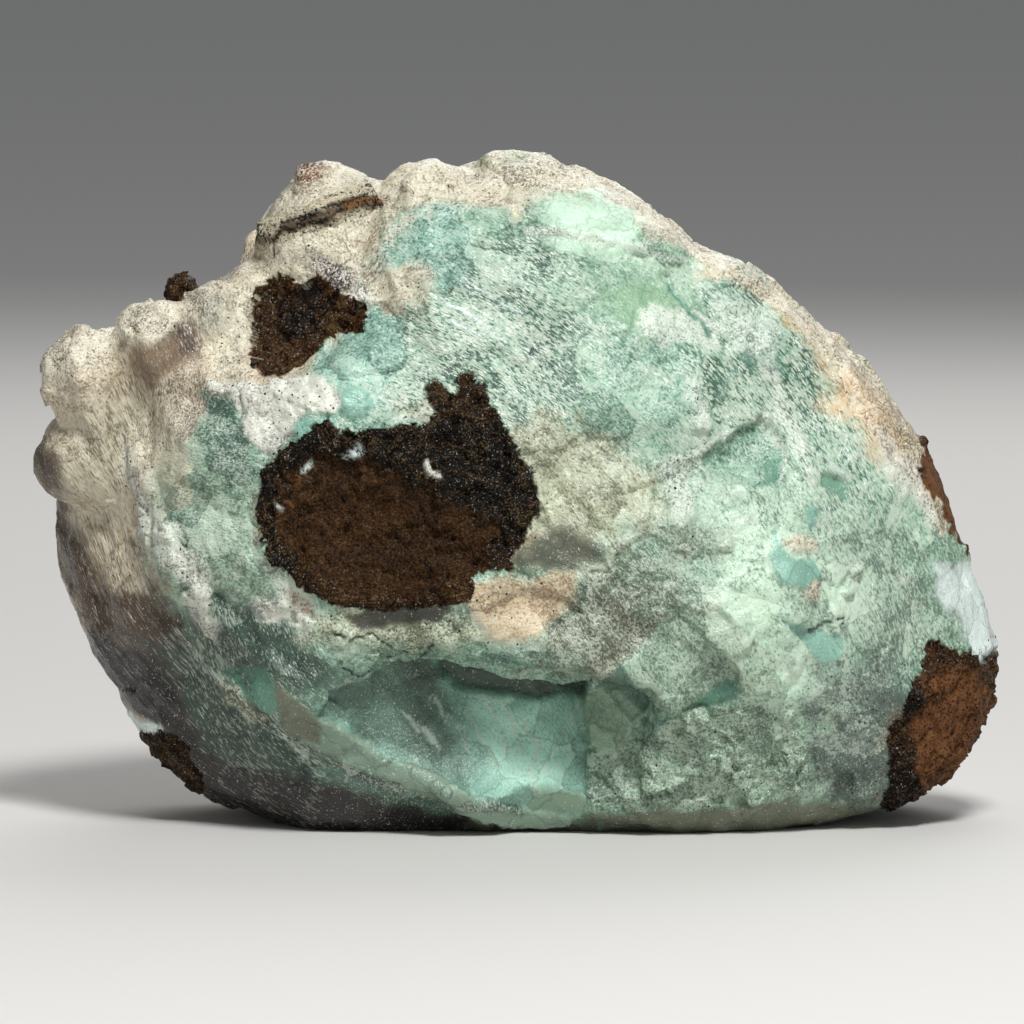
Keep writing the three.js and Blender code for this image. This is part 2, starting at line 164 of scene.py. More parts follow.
class Grain:
    """Repeatable noise over points in millimetres."""

    CORNERS = [np.array([corner & 1, (corner >> 1) & 1, corner >> 2]) for corner in range(8)]
    AROUND = [np.array([i, j, k]) for i in (-1, 0, 1) for j in (-1, 0, 1) for k in (-1, 0, 1)]
    PRIMES = (73856093, 19349663, 83492791)
    SEED_PRIME = 40503
    MIXER = 1274126177
    TOP_VALUE = 0xFFFF
    PIT_EDGE = (0.34, 0.08)

    @classmethod
    def hashed(cls, cells: Array, seed: int) -> Array:
        """One value from 0 to 1 for each whole-number cell."""
        first, second, third = (cells[:, axis] * prime for axis, prime in enumerate(cls.PRIMES))
        key = first ^ second ^ third ^ int(seed) * cls.SEED_PRIME
        key = (key ^ (key >> 13)) * cls.MIXER
        return ((key ^ (key >> 16)) & cls.TOP_VALUE) / cls.TOP_VALUE

    @classmethod
    def soft(cls, points: Array, size: float, seed: int) -> Array:
        """Smooth noise from -1 to 1 whose lumps are about `size` across."""
        cell = points / size
        low = np.floor(cell).astype(np.int64)
        part = cell - low
        ease = part * part * (3 - 2 * part)
        total = np.zeros(len(points))
        for corner in cls.CORNERS:
            weight = np.prod(np.where(corner, ease, 1 - ease), axis=1)
            total += weight * cls.hashed(low + corner, seed)
        return 2 * total - 1

    @classmethod
    def layered(cls, points: Array, size: float, seed: int, layers: int = 3) -> Array:
        """Several sizes of soft noise on each other, each half as large and half as strong."""
        return sum(cls.soft(points, size / 2**n, seed + n) / 2**n for n in range(layers))

    @classmethod
    def warp(cls, points: Array, size: float, reach: float, seed: int) -> Array:
        """Moves the points by soft noise, which makes straight edges wander."""
        moves = [cls.layered(points, size, seed + 10 * axis) for axis in range(3)]
        return points + reach * np.stack(moves, axis=1)

    @classmethod
    def facets(cls, points: Array, size: float, tilt: float, seed: int) -> Array:
        """Crystal faces side by side, where each point lies on the tilted flat of the nearest scattered spot.

        Args:
            points: Points in millimetres.
            size: Distance between faces.
            tilt: How steeply the faces lean.
            seed: Which pattern.

        Returns:
            A height for each point, of about tilt times size.
        """
        home = np.floor(points / size).astype(np.int64)
        height = np.zeros(len(points))
        nearest = np.full(len(points), np.inf)
        for step in cls.AROUND:
            cell = home + step
            spot = np.stack([cls.hashed(cell, seed + axis) for axis in range(3)], axis=1)
            away = points - (cell + spot) * size
            gap = np.einsum("ij,ij->i", away, away)
            closer = np.nonzero(gap < nearest)[0]
            nearest[closer] = gap[closer]
            lean = np.stack([cls.hashed(cell[closer], seed + 3 + axis) for axis in range(3)], axis=1) - 0.5
            height[closer] = 2 * tilt * np.einsum("ij,ij->i", away[closer], lean)
        return height

    @classmethod
    def pits(cls, points: Array, size: float, share: float, seed: int) -> Array:
        """Round pits scattered in rock: 1 in the middle of a pit and 0 outside it."""
        home = np.floor(points / size).astype(np.int64)
        depth = np.zeros(len(points))
        for step in cls.AROUND:
            cell = home + step
            spot = np.stack([cls.hashed(cell, seed + axis) for axis in range(3)], axis=1)
            away = np.linalg.norm(points - (cell + spot) * size, axis=1) / size
            here = cls.hashed(cell, seed + 7) < share
            depth = np.maximum(depth, here * smoothstep(away, *cls.PIT_EDGE))
        return depth


def raggedness(points: Array) -> Array:
    """The noise that breaks up the edges of what is painted."""
    return Grain.layered(points, 2.6, Seed.RAGGED, 4)


@dataclass(frozen=True)
class Marks:
    """What lies on a colour, each from 0 to 1.

    fleck is white grain, streak draws it out along the growth, grit is black specks, shine is gloss and
    how strongly painted highlight glints show, and rough is how far small crystals stand out.
    """

    fleck: float = 0.4
    streak: float = 0.3
    grit: float = 0.0
    shine: float = 0.4
    rough: float = 0.4

    def row(self) -> Array:
        """The marks as one row of numbers."""
        return np.array([self.fleck, self.streak, self.grit, self.shine, self.rough])


# The columns of these marks in a row
STREAK, GRIT, ROUGH = 1, 2, 4


@dataclass(frozen=True)
class Patch:
    """An oval of colour and relief, placed by its pixels in the picture.

    Its edge wanders by noise. height is in millimetres and raises or sinks the oval.
    """

    name: str
    at: Pixel
    reach: Pixel
    tint: Rgb
    marks: Marks = Marks()
    turn: float = 0.0
    soft: float = 0.45
    height: float = 0.0
    strength: float = 1.0
    minerals: tuple[Mineral, ...] = CRYSTALS

    def weight(self, seen: Array, ragged: Array) -> Array:
        """How strongly the oval covers each point of the picture, with noise to break up its edge."""
        angle = math.radians(self.turn)
        away = seen - np.array(self.at)
        along = (away[:, 0] * math.cos(angle) + away[:, 1] * math.sin(angle)) / self.reach[0]
        across = (away[:, 1] * math.cos(angle) - away[:, 0] * math.sin(angle)) / self.reach[1]
        distance = np.hypot(along, across) + 0.4 * ragged
        return self.strength * smoothstep(distance, 1 + self.soft, 1 - self.soft)


@dataclass(frozen=True)
class Stroke:
    """A line of colour and relief through points of the picture: a ridge, a crack or a crystal edge."""

    name: str
    path: tuple[Pixel, ...]
    width: float
    tint: Rgb
    marks: Marks = Marks()
    height: float = 0.0
    strength: float = 1.0
    minerals: tuple[Mineral, ...] = CRYSTALS

    def distance(self, seen: Array) -> tuple[Array, Array]:
        """How far each point lies from the line, and on which side.

        Args:
            seen: Points in pixels.

        Returns:
            Distances in pixels, and 1 on the right of the way that the line runs or -1 on its left.
        """
        nearest = np.full(len(seen), np.inf)
        side = np.ones(len(seen))
        for start, end in zip(self.path, self.path[1:]):
            start, run = np.array(start), np.array(end) - np.array(start)
            share = np.clip((seen - start) @ run / (run @ run), 0, 1)
            away = seen - start - share[:, None] * run
            gap = np.hypot(away[:, 0], away[:, 1])
            closer = gap < nearest
            nearest = np.where(closer, gap, nearest)
            side = np.where(closer, np.sign(run[0] * away[:, 1] - run[1] * away[:, 0]), side)
        return nearest, side

    def weight(self, seen: Array, ragged: Array) -> Array:
        """How strongly the line covers each point of the picture, with noise to break it up."""
        width = self.width * (1 + 0.9 * ragged)
        return self.strength * smoothstep(self.distance(seen)[0] / np.maximum(width, 0.3), 1.2, 0.3)


@dataclass(frozen=True)
class Facet:
    """A crystal face or a field of colour with a crisp edge, drawn by its corners in the picture.

    height is in millimetres. lean is how much further the face stands out for each 100 pixels across and
    down.
    """

    name: str
    outline: tuple[Pixel, ...]
    tint: Rgb
    marks: Marks = Marks()
    height: float = 0.0
    lean: Pixel = (0.0, 0.0)
    soft: float = 3.0
    ragged: float = 4.0
    strength: float = 1.0
    minerals: tuple[Mineral, ...] = CRYSTALS

    def weight(self, seen: Array, ragged: Array) -> Array:
        """How strongly the face covers each point of the picture, with noise to break up its edge."""
        ring = self.outline + self.outline[:1]
        distance = Stroke(self.name, ring, 1.0, self.tint).distance(seen)[0]
        inside = np.zeros(len(seen), bool)
        for (x1, y1), (x2, y2) in zip(ring, ring[1:]):
            if y1 == y2:
                continue
            crossing = x1 + (seen[:, 1] - y1) * (x2 - x1) / (y2 - y1)
            inside ^= ((seen[:, 1] < y1) != (seen[:, 1] < y2)) & (seen[:, 0] < crossing)
        depth = np.where(inside, distance, -distance) + self.ragged * ragged
        return self.strength * smoothstep(depth, -self.soft, self.soft)

    def relief(self, seen: Array) -> Array:
        """The height of the face at each point."""
        middle = np.mean(np.array(self.outline), axis=0)
        return self.height + (seen - middle) @ np.array(self.lean) / 100


@dataclass(frozen=True)
class Claim:
    """A part of the picture that belongs to one grain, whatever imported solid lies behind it."""

    name: str
    node: str
    outline: tuple[Pixel, ...]

    def covers(self, seen: Array, ragged: Array) -> Array:
        """Which points of the picture it covers."""
        return Facet(self.name, self.outline, (0, 0, 0)).weight(seen, ragged) > 0.5


@dataclass(frozen=True)
class Ledge:
    """A broken edge: the ground drops on the right of the way that its line runs, and climbs back beyond."""

    name: str
    path: tuple[Pixel, ...]
    drop: float
    fade: float
    crest: float = 5.0

    def height(self, seen: Array) -> Array:
        """The height of the ledge at each point, in millimetres."""
        distance, side = Stroke(self.name, self.path, 1.0, (0, 0, 0)).distance(seen)
        edge = smoothstep(distance * side, -self.crest, self.crest)
        return -self.drop * edge * smoothstep(distance, self.fade, self.crest)


class Tints:
    """Colours of the specimen as they show between the white grain, on a screen from 0 to 255. Some of them
    hold painted shade or light, as marked below.
    """

    GREEN: Rgb = (120, 160, 138)
    MINT: Rgb = (146, 182, 156)
    PALE_MINT: Rgb = (130, 170, 148)
    AQUA: Rgb = (140, 184, 166)
    DEEP: Rgb = (94, 142, 120)
    TEAL: Rgb = (92, 120, 104)
    LEAF: Rgb = (130, 164, 132)
    SAGE: Rgb = (146, 174, 150)
    OLIVE_GREY: Rgb = (112, 118, 98)
    # painted shade: dark teal for the lower left, under the roof of the hollow and in a crack
    SHADE: Rgb = (58, 78, 64)
    GREY: Rgb = (90, 104, 94)
    CLOUD: Rgb = (194, 210, 194)
    GLASS_GREEN: Rgb = (134, 158, 138)
    PALE_SAGE: Rgb = (146, 174, 148)
    # painted shadow: near black for the shaded foot of the fan and the foot along the bottom
    DUSK: Rgb = (38, 33, 30)
    GLARE: Rgb = (244, 248, 246)
    # painted shade: darkened green for the slopes at the lower left, which face away from the light
    DARK_SLOPE: Rgb = (66, 90, 76)
    PALE_AQUA: Rgb = (176, 226, 204)
    PANEL: Rgb = (192, 222, 196)
    WHITE: Rgb = (222, 222, 208)
    CREAM: Rgb = (208, 199, 172)
    IVORY: Rgb = (208, 200, 174)
    HAZE: Rgb = (172, 176, 144)
    PEACH: Rgb = (206, 182, 146)
    OCHRE: Rgb = (198, 180, 136)
    TAN: Rgb = (188, 173, 146)
    # brown glass darkened with painted shade, for the foot and left edge of the fan, which face away from the
    # light
    GLASS_BROWN: Rgb = (80, 64, 48)
    PINK_GREY: Rgb = (86, 76, 70)
    # smoky grey glass, and painted shadow under the rock in the ring
    SMOKE: Rgb = (72, 72, 62)
    BLUE_WHITE: Rgb = (222, 236, 230)
    RUST: Rgb = (122, 82, 46)
    # near black of the rock and the cracks, and painted shadow in the hole of the upper rock
    SOOT: Rgb = (20, 17, 13)
    ROCK_GREY: Rgb = (104, 94, 80)
    WINDOW: Rgb = (146, 126, 102)
    BROWN: Rgb = (56, 35, 15)
    RED_BROWN: Rgb = (104, 68, 40)
    BLACK: Rgb = (13, 11, 7)


class Textures:
    """Kinds of surface that many patches share."""

    STREAKED = Marks(fleck=0.72, streak=1.0, shine=0.6, rough=0.25)
    LINED = Marks(fleck=0.35, streak=1.0, shine=0.7, rough=0.2)
    GRAINY = Marks(fleck=0.6, streak=0.45, shine=0.45, rough=0.45)
    SUGARY = Marks(fleck=0.6, streak=0.1, shine=0.6, rough=0.55)
    SMOOTH = Marks(fleck=0.2, streak=0.4, shine=0.6, rough=0.12)
    CLEAR = Marks(fleck=0.05, streak=0.5, shine=0.85, rough=0.05)
    DRUSY = Marks(fleck=0.65, streak=0.0, grit=0.8, shine=0.7, rough=0.75)
    GRITTY = Marks(fleck=0.42, streak=0.3, grit=0.7, shine=0.4, rough=0.6)
    CHALKY = Marks(fleck=0.5, streak=0.1, grit=0.35, shine=0.5, rough=0.4)
    RIBBED = Marks(fleck=0.5, streak=0.9, grit=0.08, shine=0.6, rough=0.15)
    DARK_RIBS = Marks(fleck=0.15, streak=1.0, shine=0.75, rough=0.1)
    WISPY = Marks(fleck=0.3, streak=0.7, shine=0.7, rough=0.12)
    BLOCKY = Marks(fleck=0.55, streak=0.1, grit=0.15, shine=0.8, rough=1.3)
    BLADED = Marks(fleck=0.55, streak=0.3, grit=0.95, shine=0.8, rough=0.8)
    ROCK = Marks(fleck=0.2, streak=0.0, grit=0.9, shine=0.1, rough=0.6)
    BURNT = Marks(fleck=0.3, streak=0.0, grit=0.2, shine=0.7, rough=1.0)


# Painted one on the other, from the large fields to the small spots
PATCHES = [
    Patch("upper field", (600, 300), (190, 130), Tints.MINT, Textures.GRAINY, turn=25),
    Patch("streaked field", (485, 335), (130, 110), Tints.GREEN, Textures.STREAKED, turn=30),
    Patch("pale streaks by the rock", (540, 420), (60, 60), Tints.PALE_MINT, Textures.STREAKED, turn=30),
    Patch("middle field", (650, 400), (70, 70), Tints.PALE_MINT, Textures.GRAINY),
    Patch("right field", (800, 440), (90, 150), Tints.GREEN, Textures.STREAKED, turn=-25),
    Patch("lower right field", (800, 590), (110, 110), Tints.PANEL, Textures.GRAINY),
    Patch("far right field", (885, 610), (45, 120), Tints.GREY, Textures.STREAKED, turn=-25,
          strength=0.35),
    Patch("lower right grey", (862, 735), (62, 72), Tints.GREY, Textures.GRITTY, strength=0.9),
    Patch("cream haze", (585, 505), (62, 62), Tints.HAZE, Textures.GRAINY, strength=0.95),
    Patch("cream haze by the rock", (560, 470), (36, 60), Tints.HAZE, Textures.GRAINY, turn=-35),
    Patch("olive middle", (640, 600), (60, 60), Tints.OLIVE_GREY, Textures.GRAINY, strength=0.6),
    Patch("grey middle", (600, 640), (70, 44), Tints.OLIVE_GREY, Textures.GRAINY),
    Patch("left slope", (215, 600), (62, 92), Tints.SAGE, Textures.GRAINY, turn=-35, strength=0.9),
    # painted shade: the lower left faces away from the light
    Patch("dark slope", (238, 660), (80, 60), Tints.SHADE, Textures.LINED, turn=38, strength=0.75),
    Patch("foot of the slope", (330, 760), (90, 26), Tints.SHADE, Textures.LINED, turn=28),
    Patch("mint panel", (592, 216), (66, 30), Tints.PANEL, Textures.SMOOTH, turn=14, soft=0.2),
    Patch("dark notch", (514, 203), (18, 20), Tints.DEEP, Textures.GRAINY, turn=-20, soft=0.25),
    Patch("turquoise panel", (436, 250), (44, 42), Tints.AQUA, Textures.GRAINY, soft=0.16, height=0.5),
    Patch("leaf green", (636, 305), (44, 28), Tints.LEAF, Textures.SMOOTH, turn=20),
    Patch("clear window", (762, 355), (24, 16), Tints.DEEP, Textures.SMOOTH, turn=20, strength=0.7),
    Patch("white streak band", (785, 412), (58, 9), Tints.CLOUD, Textures.STREAKED, turn=66, height=0.25),
    Patch("dark band", (800, 375), (48, 12), Tints.DEEP, Textures.STREAKED, turn=66, strength=0.6),
    Patch("cream crumb", (794, 543), (12, 9), Tints.CREAM, Textures.SUGARY, height=0.3),
    Patch("pale crumb", (812, 594), (12, 10), Tints.CREAM, Textures.SUGARY, height=0.3),
    Patch("rusty freckles", (702, 548), (30, 26), Tints.OLIVE_GREY, Textures.GRITTY, strength=0.5),
    Patch("ring below the rock", (400, 628), (110, 20), Tints.HAZE, Textures.DRUSY, turn=2,
          strength=0.85),
    Patch("ring left of the rock", (282, 600), (26, 34), Tints.WHITE, Textures.DRUSY, turn=-30),
    Patch("grey grains", (222, 555), (24, 46), Tints.GREY, Textures.GRITTY, turn=-20),
    Patch("cream by the streaks", (402, 296), (30, 26), Tints.CREAM, Textures.CHALKY),
    Patch("white sparkle", (362, 296), (13, 34), Tints.WHITE, Textures.SUGARY, turn=-12),
    Patch("knob", (322, 222), (68, 56), Tints.IVORY, Textures.CHALKY),
    Patch("lilac shade", (334, 268), (20, 13), Tints.PINK_GREY, Textures.SUGARY, turn=30),
    Patch("cream flank", (243, 330), (36, 46), Tints.IVORY, Textures.CHALKY),
    Patch("grey crystal", (214, 300), (20, 26), Tints.GREY, Textures.RIBBED, strength=0.5),
    Patch("top ledge", (465, 186), (86, 26), Tints.CREAM, Textures.CHALKY),
    Patch("top rim", (560, 172), (80, 16), Tints.IVORY, Textures.SUGARY),
    Patch("ochre on the rim", (800, 316), (30, 17), Tints.OCHRE, Textures.CHALKY, turn=48),
    Patch("peach rim", (866, 410), (78, 26), Tints.PEACH, Textures.RIBBED, turn=55),
    Patch("white edge", (902, 470), (60, 12), Tints.WHITE, Textures.SUGARY, turn=58, strength=0.7),
    Patch("far left lobe", (74, 400), (48, 66), Tints.TAN, Textures.CHALKY),
    Patch("lobe tips", (84, 352), (52, 22), Tints.IVORY, Textures.SUGARY, turn=-30),
    Patch("second lobe", (146, 318), (38, 26), Tints.IVORY, Textures.SUGARY, turn=-20),
    Patch("fan", (128, 452), (62, 62), Tints.CREAM, Textures.RIBBED, strength=0.9),
    Patch("fan middle", (108, 556), (44, 66), Tints.TAN, Textures.RIBBED, turn=-28, strength=0.85),
    # painted shade: the foot of the fan faces away from the light
    Patch("fan foot", (140, 626), (36, 54), Tints.GLASS_BROWN, Textures.DARK_RIBS, turn=-34),
    Patch("rust crumb on the knob", (312, 172), (14, 9), Tints.RUST, Textures.SUGARY, height=0.4),
    Patch("rust crumb below the rock", (352, 602), (11, 7), Tints.RUST, Textures.SMOOTH, height=0.3),
    Patch("rust under the rock", (300, 598), (16, 8), Tints.RUST, Textures.CHALKY, turn=35, strength=0.8),
    Patch("red of the flat", (318, 500), (34, 30), Tints.RED_BROWN, Textures.ROCK, strength=0.6,
          minerals=ROCKS),
    Patch("sliver", (944, 508), (70, 14), Tints.RED_BROWN, Textures.SMOOTH, turn=65, minerals=ROCKS),
]

FACETS = [
    # painted shade: the left edge of the fan faces away from the light
    Facet("left edge of the fan", ((30, 440), (52, 452), (70, 510), (98, 570), (112, 626), (96, 642),
          (66, 590), (40, 520)), Tints.GLASS_BROWN, Textures.DARK_RIBS, soft=12, ragged=8),
    Facet("window between the lobes", ((114, 336), (126, 344), (163, 341), (183, 318), (199, 324),
          (199, 356), (172, 370), (148, 389), (128, 362)), Tints.WINDOW, Textures.DARK_RIBS, height=-0.35,
          soft=5, ragged=4),
    # painted shadow in the crease between the lobes
    Facet("dark end of the window", ((172, 330), (184, 316), (200, 322), (200, 352), (180, 352)),
          Tints.PINK_GREY, Textures.RIBBED, soft=8, ragged=6, strength=0.7),
    Facet("rust left of the upper rock", ((244, 306), (257, 300), (262, 330), (260, 366), (248, 360)),
          Tints.RUST, Textures.CHALKY, soft=8, ragged=10, strength=0.5),
    # painted shade: these slopes at the lower left face away from the light
    Facet("dark green slope", ((196, 590), (236, 584), (276, 622), (322, 656), (330, 690), (290, 686),
          (236, 664), (204, 650)), Tints.DARK_SLOPE, Textures.LINED, soft=10, ragged=12),
    Facet("lower slope", ((150, 640), (196, 640), (240, 700), (300, 748), (300, 790), (230, 770),
          (180, 726)), Tints.DARK_SLOPE, Textures.LINED, soft=10, ragged=12, strength=0.8),
    Facet("smoky glass", ((505, 562), (540, 534), (560, 522), (592, 534), (604, 560), (572, 572),
          (520, 572)), Tints.SMOKE, Textures.CLEAR, soft=9, ragged=8, strength=0.85),
    # painted shadow cast by the rock onto the ring below it
    Facet("shadow in the ring", ((346, 616), (398, 606), (454, 603), (442, 617), (388, 628), (360, 630)),
          Tints.SMOKE, Textures.CLEAR, height=-0.4, soft=3, ragged=4),
    Facet("bottom edge", ((440, 814), (520, 824), (600, 816), (600, 850), (440, 850)), Tints.OLIVE_GREY,
          Textures.CLEAR, soft=4),
    Facet("upper rock", ((256, 290), (300, 280), (360, 300), (366, 338), (310, 372), (270, 384),
          (254, 370)), Tints.BROWN, Textures.BURNT, soft=6, ragged=8, minerals=ROCKS, strength=0.75),
    Facet("dark heart of the upper rock", ((276, 300), (306, 304), (334, 306), (330, 330), (304, 346),
          (284, 336)), Tints.SOOT, Textures.BURNT, height=-0.3, soft=8, ragged=12, minerals=ROCKS,
          strength=0.8),
    # painted shadow: the hole is black where the cream rim shades it
    Facet("hole in the upper rock", ((294, 292), (310, 281), (324, 288), (320, 300), (302, 302)),
          Tints.SOOT, Textures.ROCK, height=-0.5, soft=4, ragged=5, minerals=ROCKS),
    Facet("hollow", ((438, 662), (499, 679), (588, 689), (581, 712), (588, 738), (586, 763), (590, 792),
          (581, 812), (530, 808), (484, 800), (463, 789), (415, 763), (384, 758), (350, 732), (322, 716),
          (330, 690), (390, 672)), Tints.AQUA, Textures.WISPY, height=-0.9, lean=(0, 1.6), soft=2,
          ragged=2),
    # partly painted light: the floor of the hollow is made paler to stand for the light that falls on it
    Facet("bright floor of the hollow", ((476, 712), (540, 708), (578, 722), (576, 770), (530, 790),
          (490, 776)), Tints.PALE_AQUA, Textures.WISPY, soft=16, ragged=12),
    Facet("crystals in the hollow", ((330, 672), (420, 662), (450, 692), (470, 740), (462, 782),
          (415, 763), (384, 752), (350, 728), (320, 712)), Tints.TEAL, Textures.WISPY, soft=14,
          ragged=12),
    # painted shade under the overhanging roof of the hollow
    Facet("roof of the hollow", ((438, 662), (499, 679), (588, 689), (583, 702), (520, 704), (462, 698),
          (444, 688)), Tints.SHADE, Textures.CLEAR, height=-0.9, soft=3, ragged=2),
    Facet("left roof", ((400, 672), (438, 664), (450, 690), (420, 694)), Tints.SHADE, Textures.SMOOTH,
          soft=8),
    Facet("pale foot of the hollow", ((528, 788), (588, 790), (584, 812), (530, 808)), Tints.SAGE,
          Textures.CLEAR, soft=5),
    Facet("lip", ((300, 716), (322, 718), (346, 727), (366, 743), (384, 757), (415, 764), (463, 790),
          (484, 801), (581, 814), (560, 824), (500, 824), (466, 812), (430, 796), (380, 776), (340, 764),
          (300, 752)), Tints.GLASS_GREEN, Textures.CLEAR, height=0.5, lean=(0, 1.2), soft=2, ragged=2),
    Facet("under the lip", ((300, 752), (340, 764), (380, 776), (430, 796), (466, 812), (440, 812),
          (380, 796), (330, 784), (296, 770)), Tints.TEAL, Textures.LINED, soft=4),
    Facet("face right of the hollow", ((588, 689), (602, 684), (640, 700), (648, 713), (638, 724),
          (624, 746), (600, 756), (587, 738), (581, 712)), Tints.PALE_SAGE, Textures.SMOOTH, height=0.5,
          lean=(0.5, 1.4), soft=2, ragged=2),
    Facet("dark wedge", ((600, 684), (620, 665), (652, 701), (646, 714), (622, 696)), Tints.TEAL,
          Textures.SMOOTH, lean=(1.5, -2.5), soft=2, ragged=2),
    Facet("notched face", ((672, 612), (699, 628), (720, 651), (741, 678), (698, 711), (672, 711),
          (652, 699), (620, 665), (646, 637)), Tints.SAGE, Textures.GRAINY, height=-0.2, lean=(-1.5, 1.2),
          soft=2, ragged=3),
    Facet("pale plate", ((656, 606), (687, 606), (728, 619), (768, 649), (786, 696), (744, 697),
          (738, 668), (720, 651), (699, 628)), Tints.PALE_SAGE, Textures.GRAINY, height=0.3, lean=(0,
          2.2), soft=3, ragged=4),
    Facet("green chink", ((699, 706), (728, 682), (744, 690), (722, 706), (702, 714)), Tints.DEEP,
          Textures.CLEAR, height=-0.5, soft=2, ragged=2),
    Facet("face below the edge", ((705, 452), (764, 415), (792, 456), (780, 487), (748, 490), (714, 478)),
          Tints.GREEN, Textures.GRAINY, height=-0.3, lean=(0.5, 1.2), soft=2, ragged=3),
    # painted shade in the corner of the face below the edge
    Facet("corner of that face", ((770, 452), (791, 458), (780, 488), (764, 484)), Tints.DEEP,
          Textures.SMOOTH, soft=7, strength=0.8),
    Facet("lens", ((823, 470), (845, 480), (855, 505), (838, 493), (823, 484)), Tints.GREEN,
          Textures.CLEAR, height=-0.5, lean=(0, 2), soft=1.5, ragged=1),
    Facet("blade over the lens", ((823, 449), (836, 456), (848, 478), (831, 472)), Tints.CLOUD,
          Textures.SMOOTH, height=0.3, soft=2),
    Facet("aqua bulb", ((776, 531), (783, 554), (811, 562), (815, 577), (803, 588), (779, 583),
          (770, 556)), Tints.AQUA, Textures.CLEAR, height=0.35, lean=(0, 1), soft=2.5, ragged=3),
    Facet("aqua notch", ((806, 508), (824, 509), (815, 527), (806, 531)), Tints.AQUA, Textures.CLEAR,
          soft=2),
    Facet("blue face", ((780, 619), (814, 630), (842, 634), (838, 657), (820, 664), (806, 647)),
          Tints.AQUA, Textures.SMOOTH, height=-0.2, lean=(0, 2), soft=2),
    Facet("white crest below the ridge", ((657, 469), (694, 458), (695, 490), (688, 524), (674, 532),
          (664, 500)), Tints.CLOUD, Textures.DRUSY, height=0.15, soft=5, ragged=9),
    Facet("left cloud", ((632, 322), (655, 306), (700, 312), (736, 326), (720, 344), (676, 342),
          (646, 338)), Tints.CLOUD, Textures.SUGARY, height=0.15, soft=5, ragged=9),
    Facet("right cloud", ((694, 294), (752, 296), (790, 330), (776, 372), (744, 352), (712, 330)),
          Tints.CLOUD, Textures.SUGARY, height=0.15, soft=7, ragged=12, strength=0.8),
    Facet("crystals at the foot", ((620, 748), (700, 713), (790, 700), (806, 760), (790, 800), (700, 812),
          (602, 812), (588, 790), (592, 764)), Tints.SAGE, Textures.BLOCKY, soft=5, ragged=10),
    Facet("glass foot", ((600, 812), (700, 812), (790, 800), (890, 806), (890, 850), (600, 850)),
          Tints.OLIVE_GREY, Textures.CLEAR, soft=4),
    # partly painted light: the strip is paler than its own colour, for the light that falls on the right rim
    Facet("blue-white strip", ((930, 562), (969, 562), (984, 592), (1002, 631), (999, 646), (980, 664),
          (959, 628), (939, 592)), Tints.BLUE_WHITE, Textures.SMOOTH, soft=5, ragged=6,
          minerals=ALL_MINERALS),
    Facet("shaded foot of the fan", ((77, 612), (96, 630), (121, 644), (164, 664), (240, 790), (190, 790),
          (166, 736), (124, 710), (100, 690)), Tints.DUSK, Textures.DARK_RIBS, soft=9, ragged=5),
    Facet("white foot", ((125, 710), (162, 726), (168, 752), (158, 757), (143, 738)), Tints.BLUE_WHITE,
          Textures.SMOOTH, height=0.3, soft=2.5),
    # painted shade along the bottom, which faces down, away from the light
    Facet("dull foot", ((186, 752), (240, 764), (300, 776), (380, 800), (470, 816), (470, 840),
          (190, 840)), Tints.DUSK, Textures.DARK_RIBS, soft=8, ragged=6),
    # painted shade on the lower left slope
    Facet("dark teal slope", ((178, 660), (200, 668), (232, 720), (262, 752), (300, 772), (262, 768),
          (206, 744)), Tints.SHADE, Textures.LINED, soft=6, ragged=6),
    Facet("teal lens", ((222, 671), (240, 666), (264, 668), (280, 683), (283, 710), (264, 710),
          (240, 688)), Tints.DEEP, Textures.SMOOTH, height=-0.3, lean=(0, 3.5), soft=2, ragged=2),
    Facet("grey green left of the rock", ((198, 470), (232, 484), (262, 480), (262, 556), (282, 600),
          (232, 606), (190, 560)), Tints.SAGE, Textures.GRAINY, soft=14, ragged=12),
    Facet("grey face", ((280, 683), (307, 703), (323, 723), (321, 742), (287, 736), (280, 710)),
          Tints.OLIVE_GREY, Textures.CLEAR, height=0.1, lean=(1, -1), soft=2, ragged=2),
    Facet("cream crystals", ((214, 684), (228, 682), (268, 718), (262, 733), (238, 720)), Tints.HAZE,
          Textures.DRUSY, height=0.25, soft=3, ragged=5),
    Facet("white druse", ((212, 382), (262, 384), (290, 376), (318, 366), (346, 395), (343, 412),
          (299, 419), (289, 447), (265, 456), (240, 420), (228, 394)), Tints.WHITE, Textures.BLADED,
          height=0.25, soft=3, ragged=8),
    Facet("teal field at the left", ((206, 394), (232, 402), (252, 452), (264, 476), (232, 487),
          (212, 462), (196, 438)), Tints.TEAL, Textures.GRAINY, soft=5, ragged=6),
    Facet("turquoise field", ((318, 349), (375, 306), (399, 319), (400, 372), (366, 416), (342, 416),
          (345, 395), (308, 366)), Tints.AQUA, Textures.GRAINY, soft=5, ragged=7),
    Facet("turquoise rim", ((289, 450), (299, 420), (343, 413), (334, 428), (286, 462)), Tints.AQUA,
          Textures.SMOOTH, soft=3),
    Facet("turquoise ball", ((343, 394), (356, 389), (368, 396), (371, 408), (363, 418), (350, 420),
          (341, 410)), Tints.AQUA, Textures.CLEAR, height=0.8, soft=4, ragged=1),
    Facet("peach patch", ((468, 588), (520, 578), (574, 572), (578, 600), (540, 626), (524, 642),
          (496, 640), (470, 618)), Tints.PEACH, Textures.CHALKY, height=0.3, soft=7, ragged=10),
    Facet("brown flat", ((284, 474), (330, 456), (400, 468), (440, 500), (502, 522), (492, 562),
          (446, 590), (400, 600), (354, 590), (304, 566), (282, 520)), Tints.BROWN, Textures.ROCK,
          height=-0.4, soft=6, ragged=14, minerals=ROCKS),
    Facet("corner flat", ((922, 680), (952, 664), (976, 668), (994, 690), (992, 760), (960, 804),
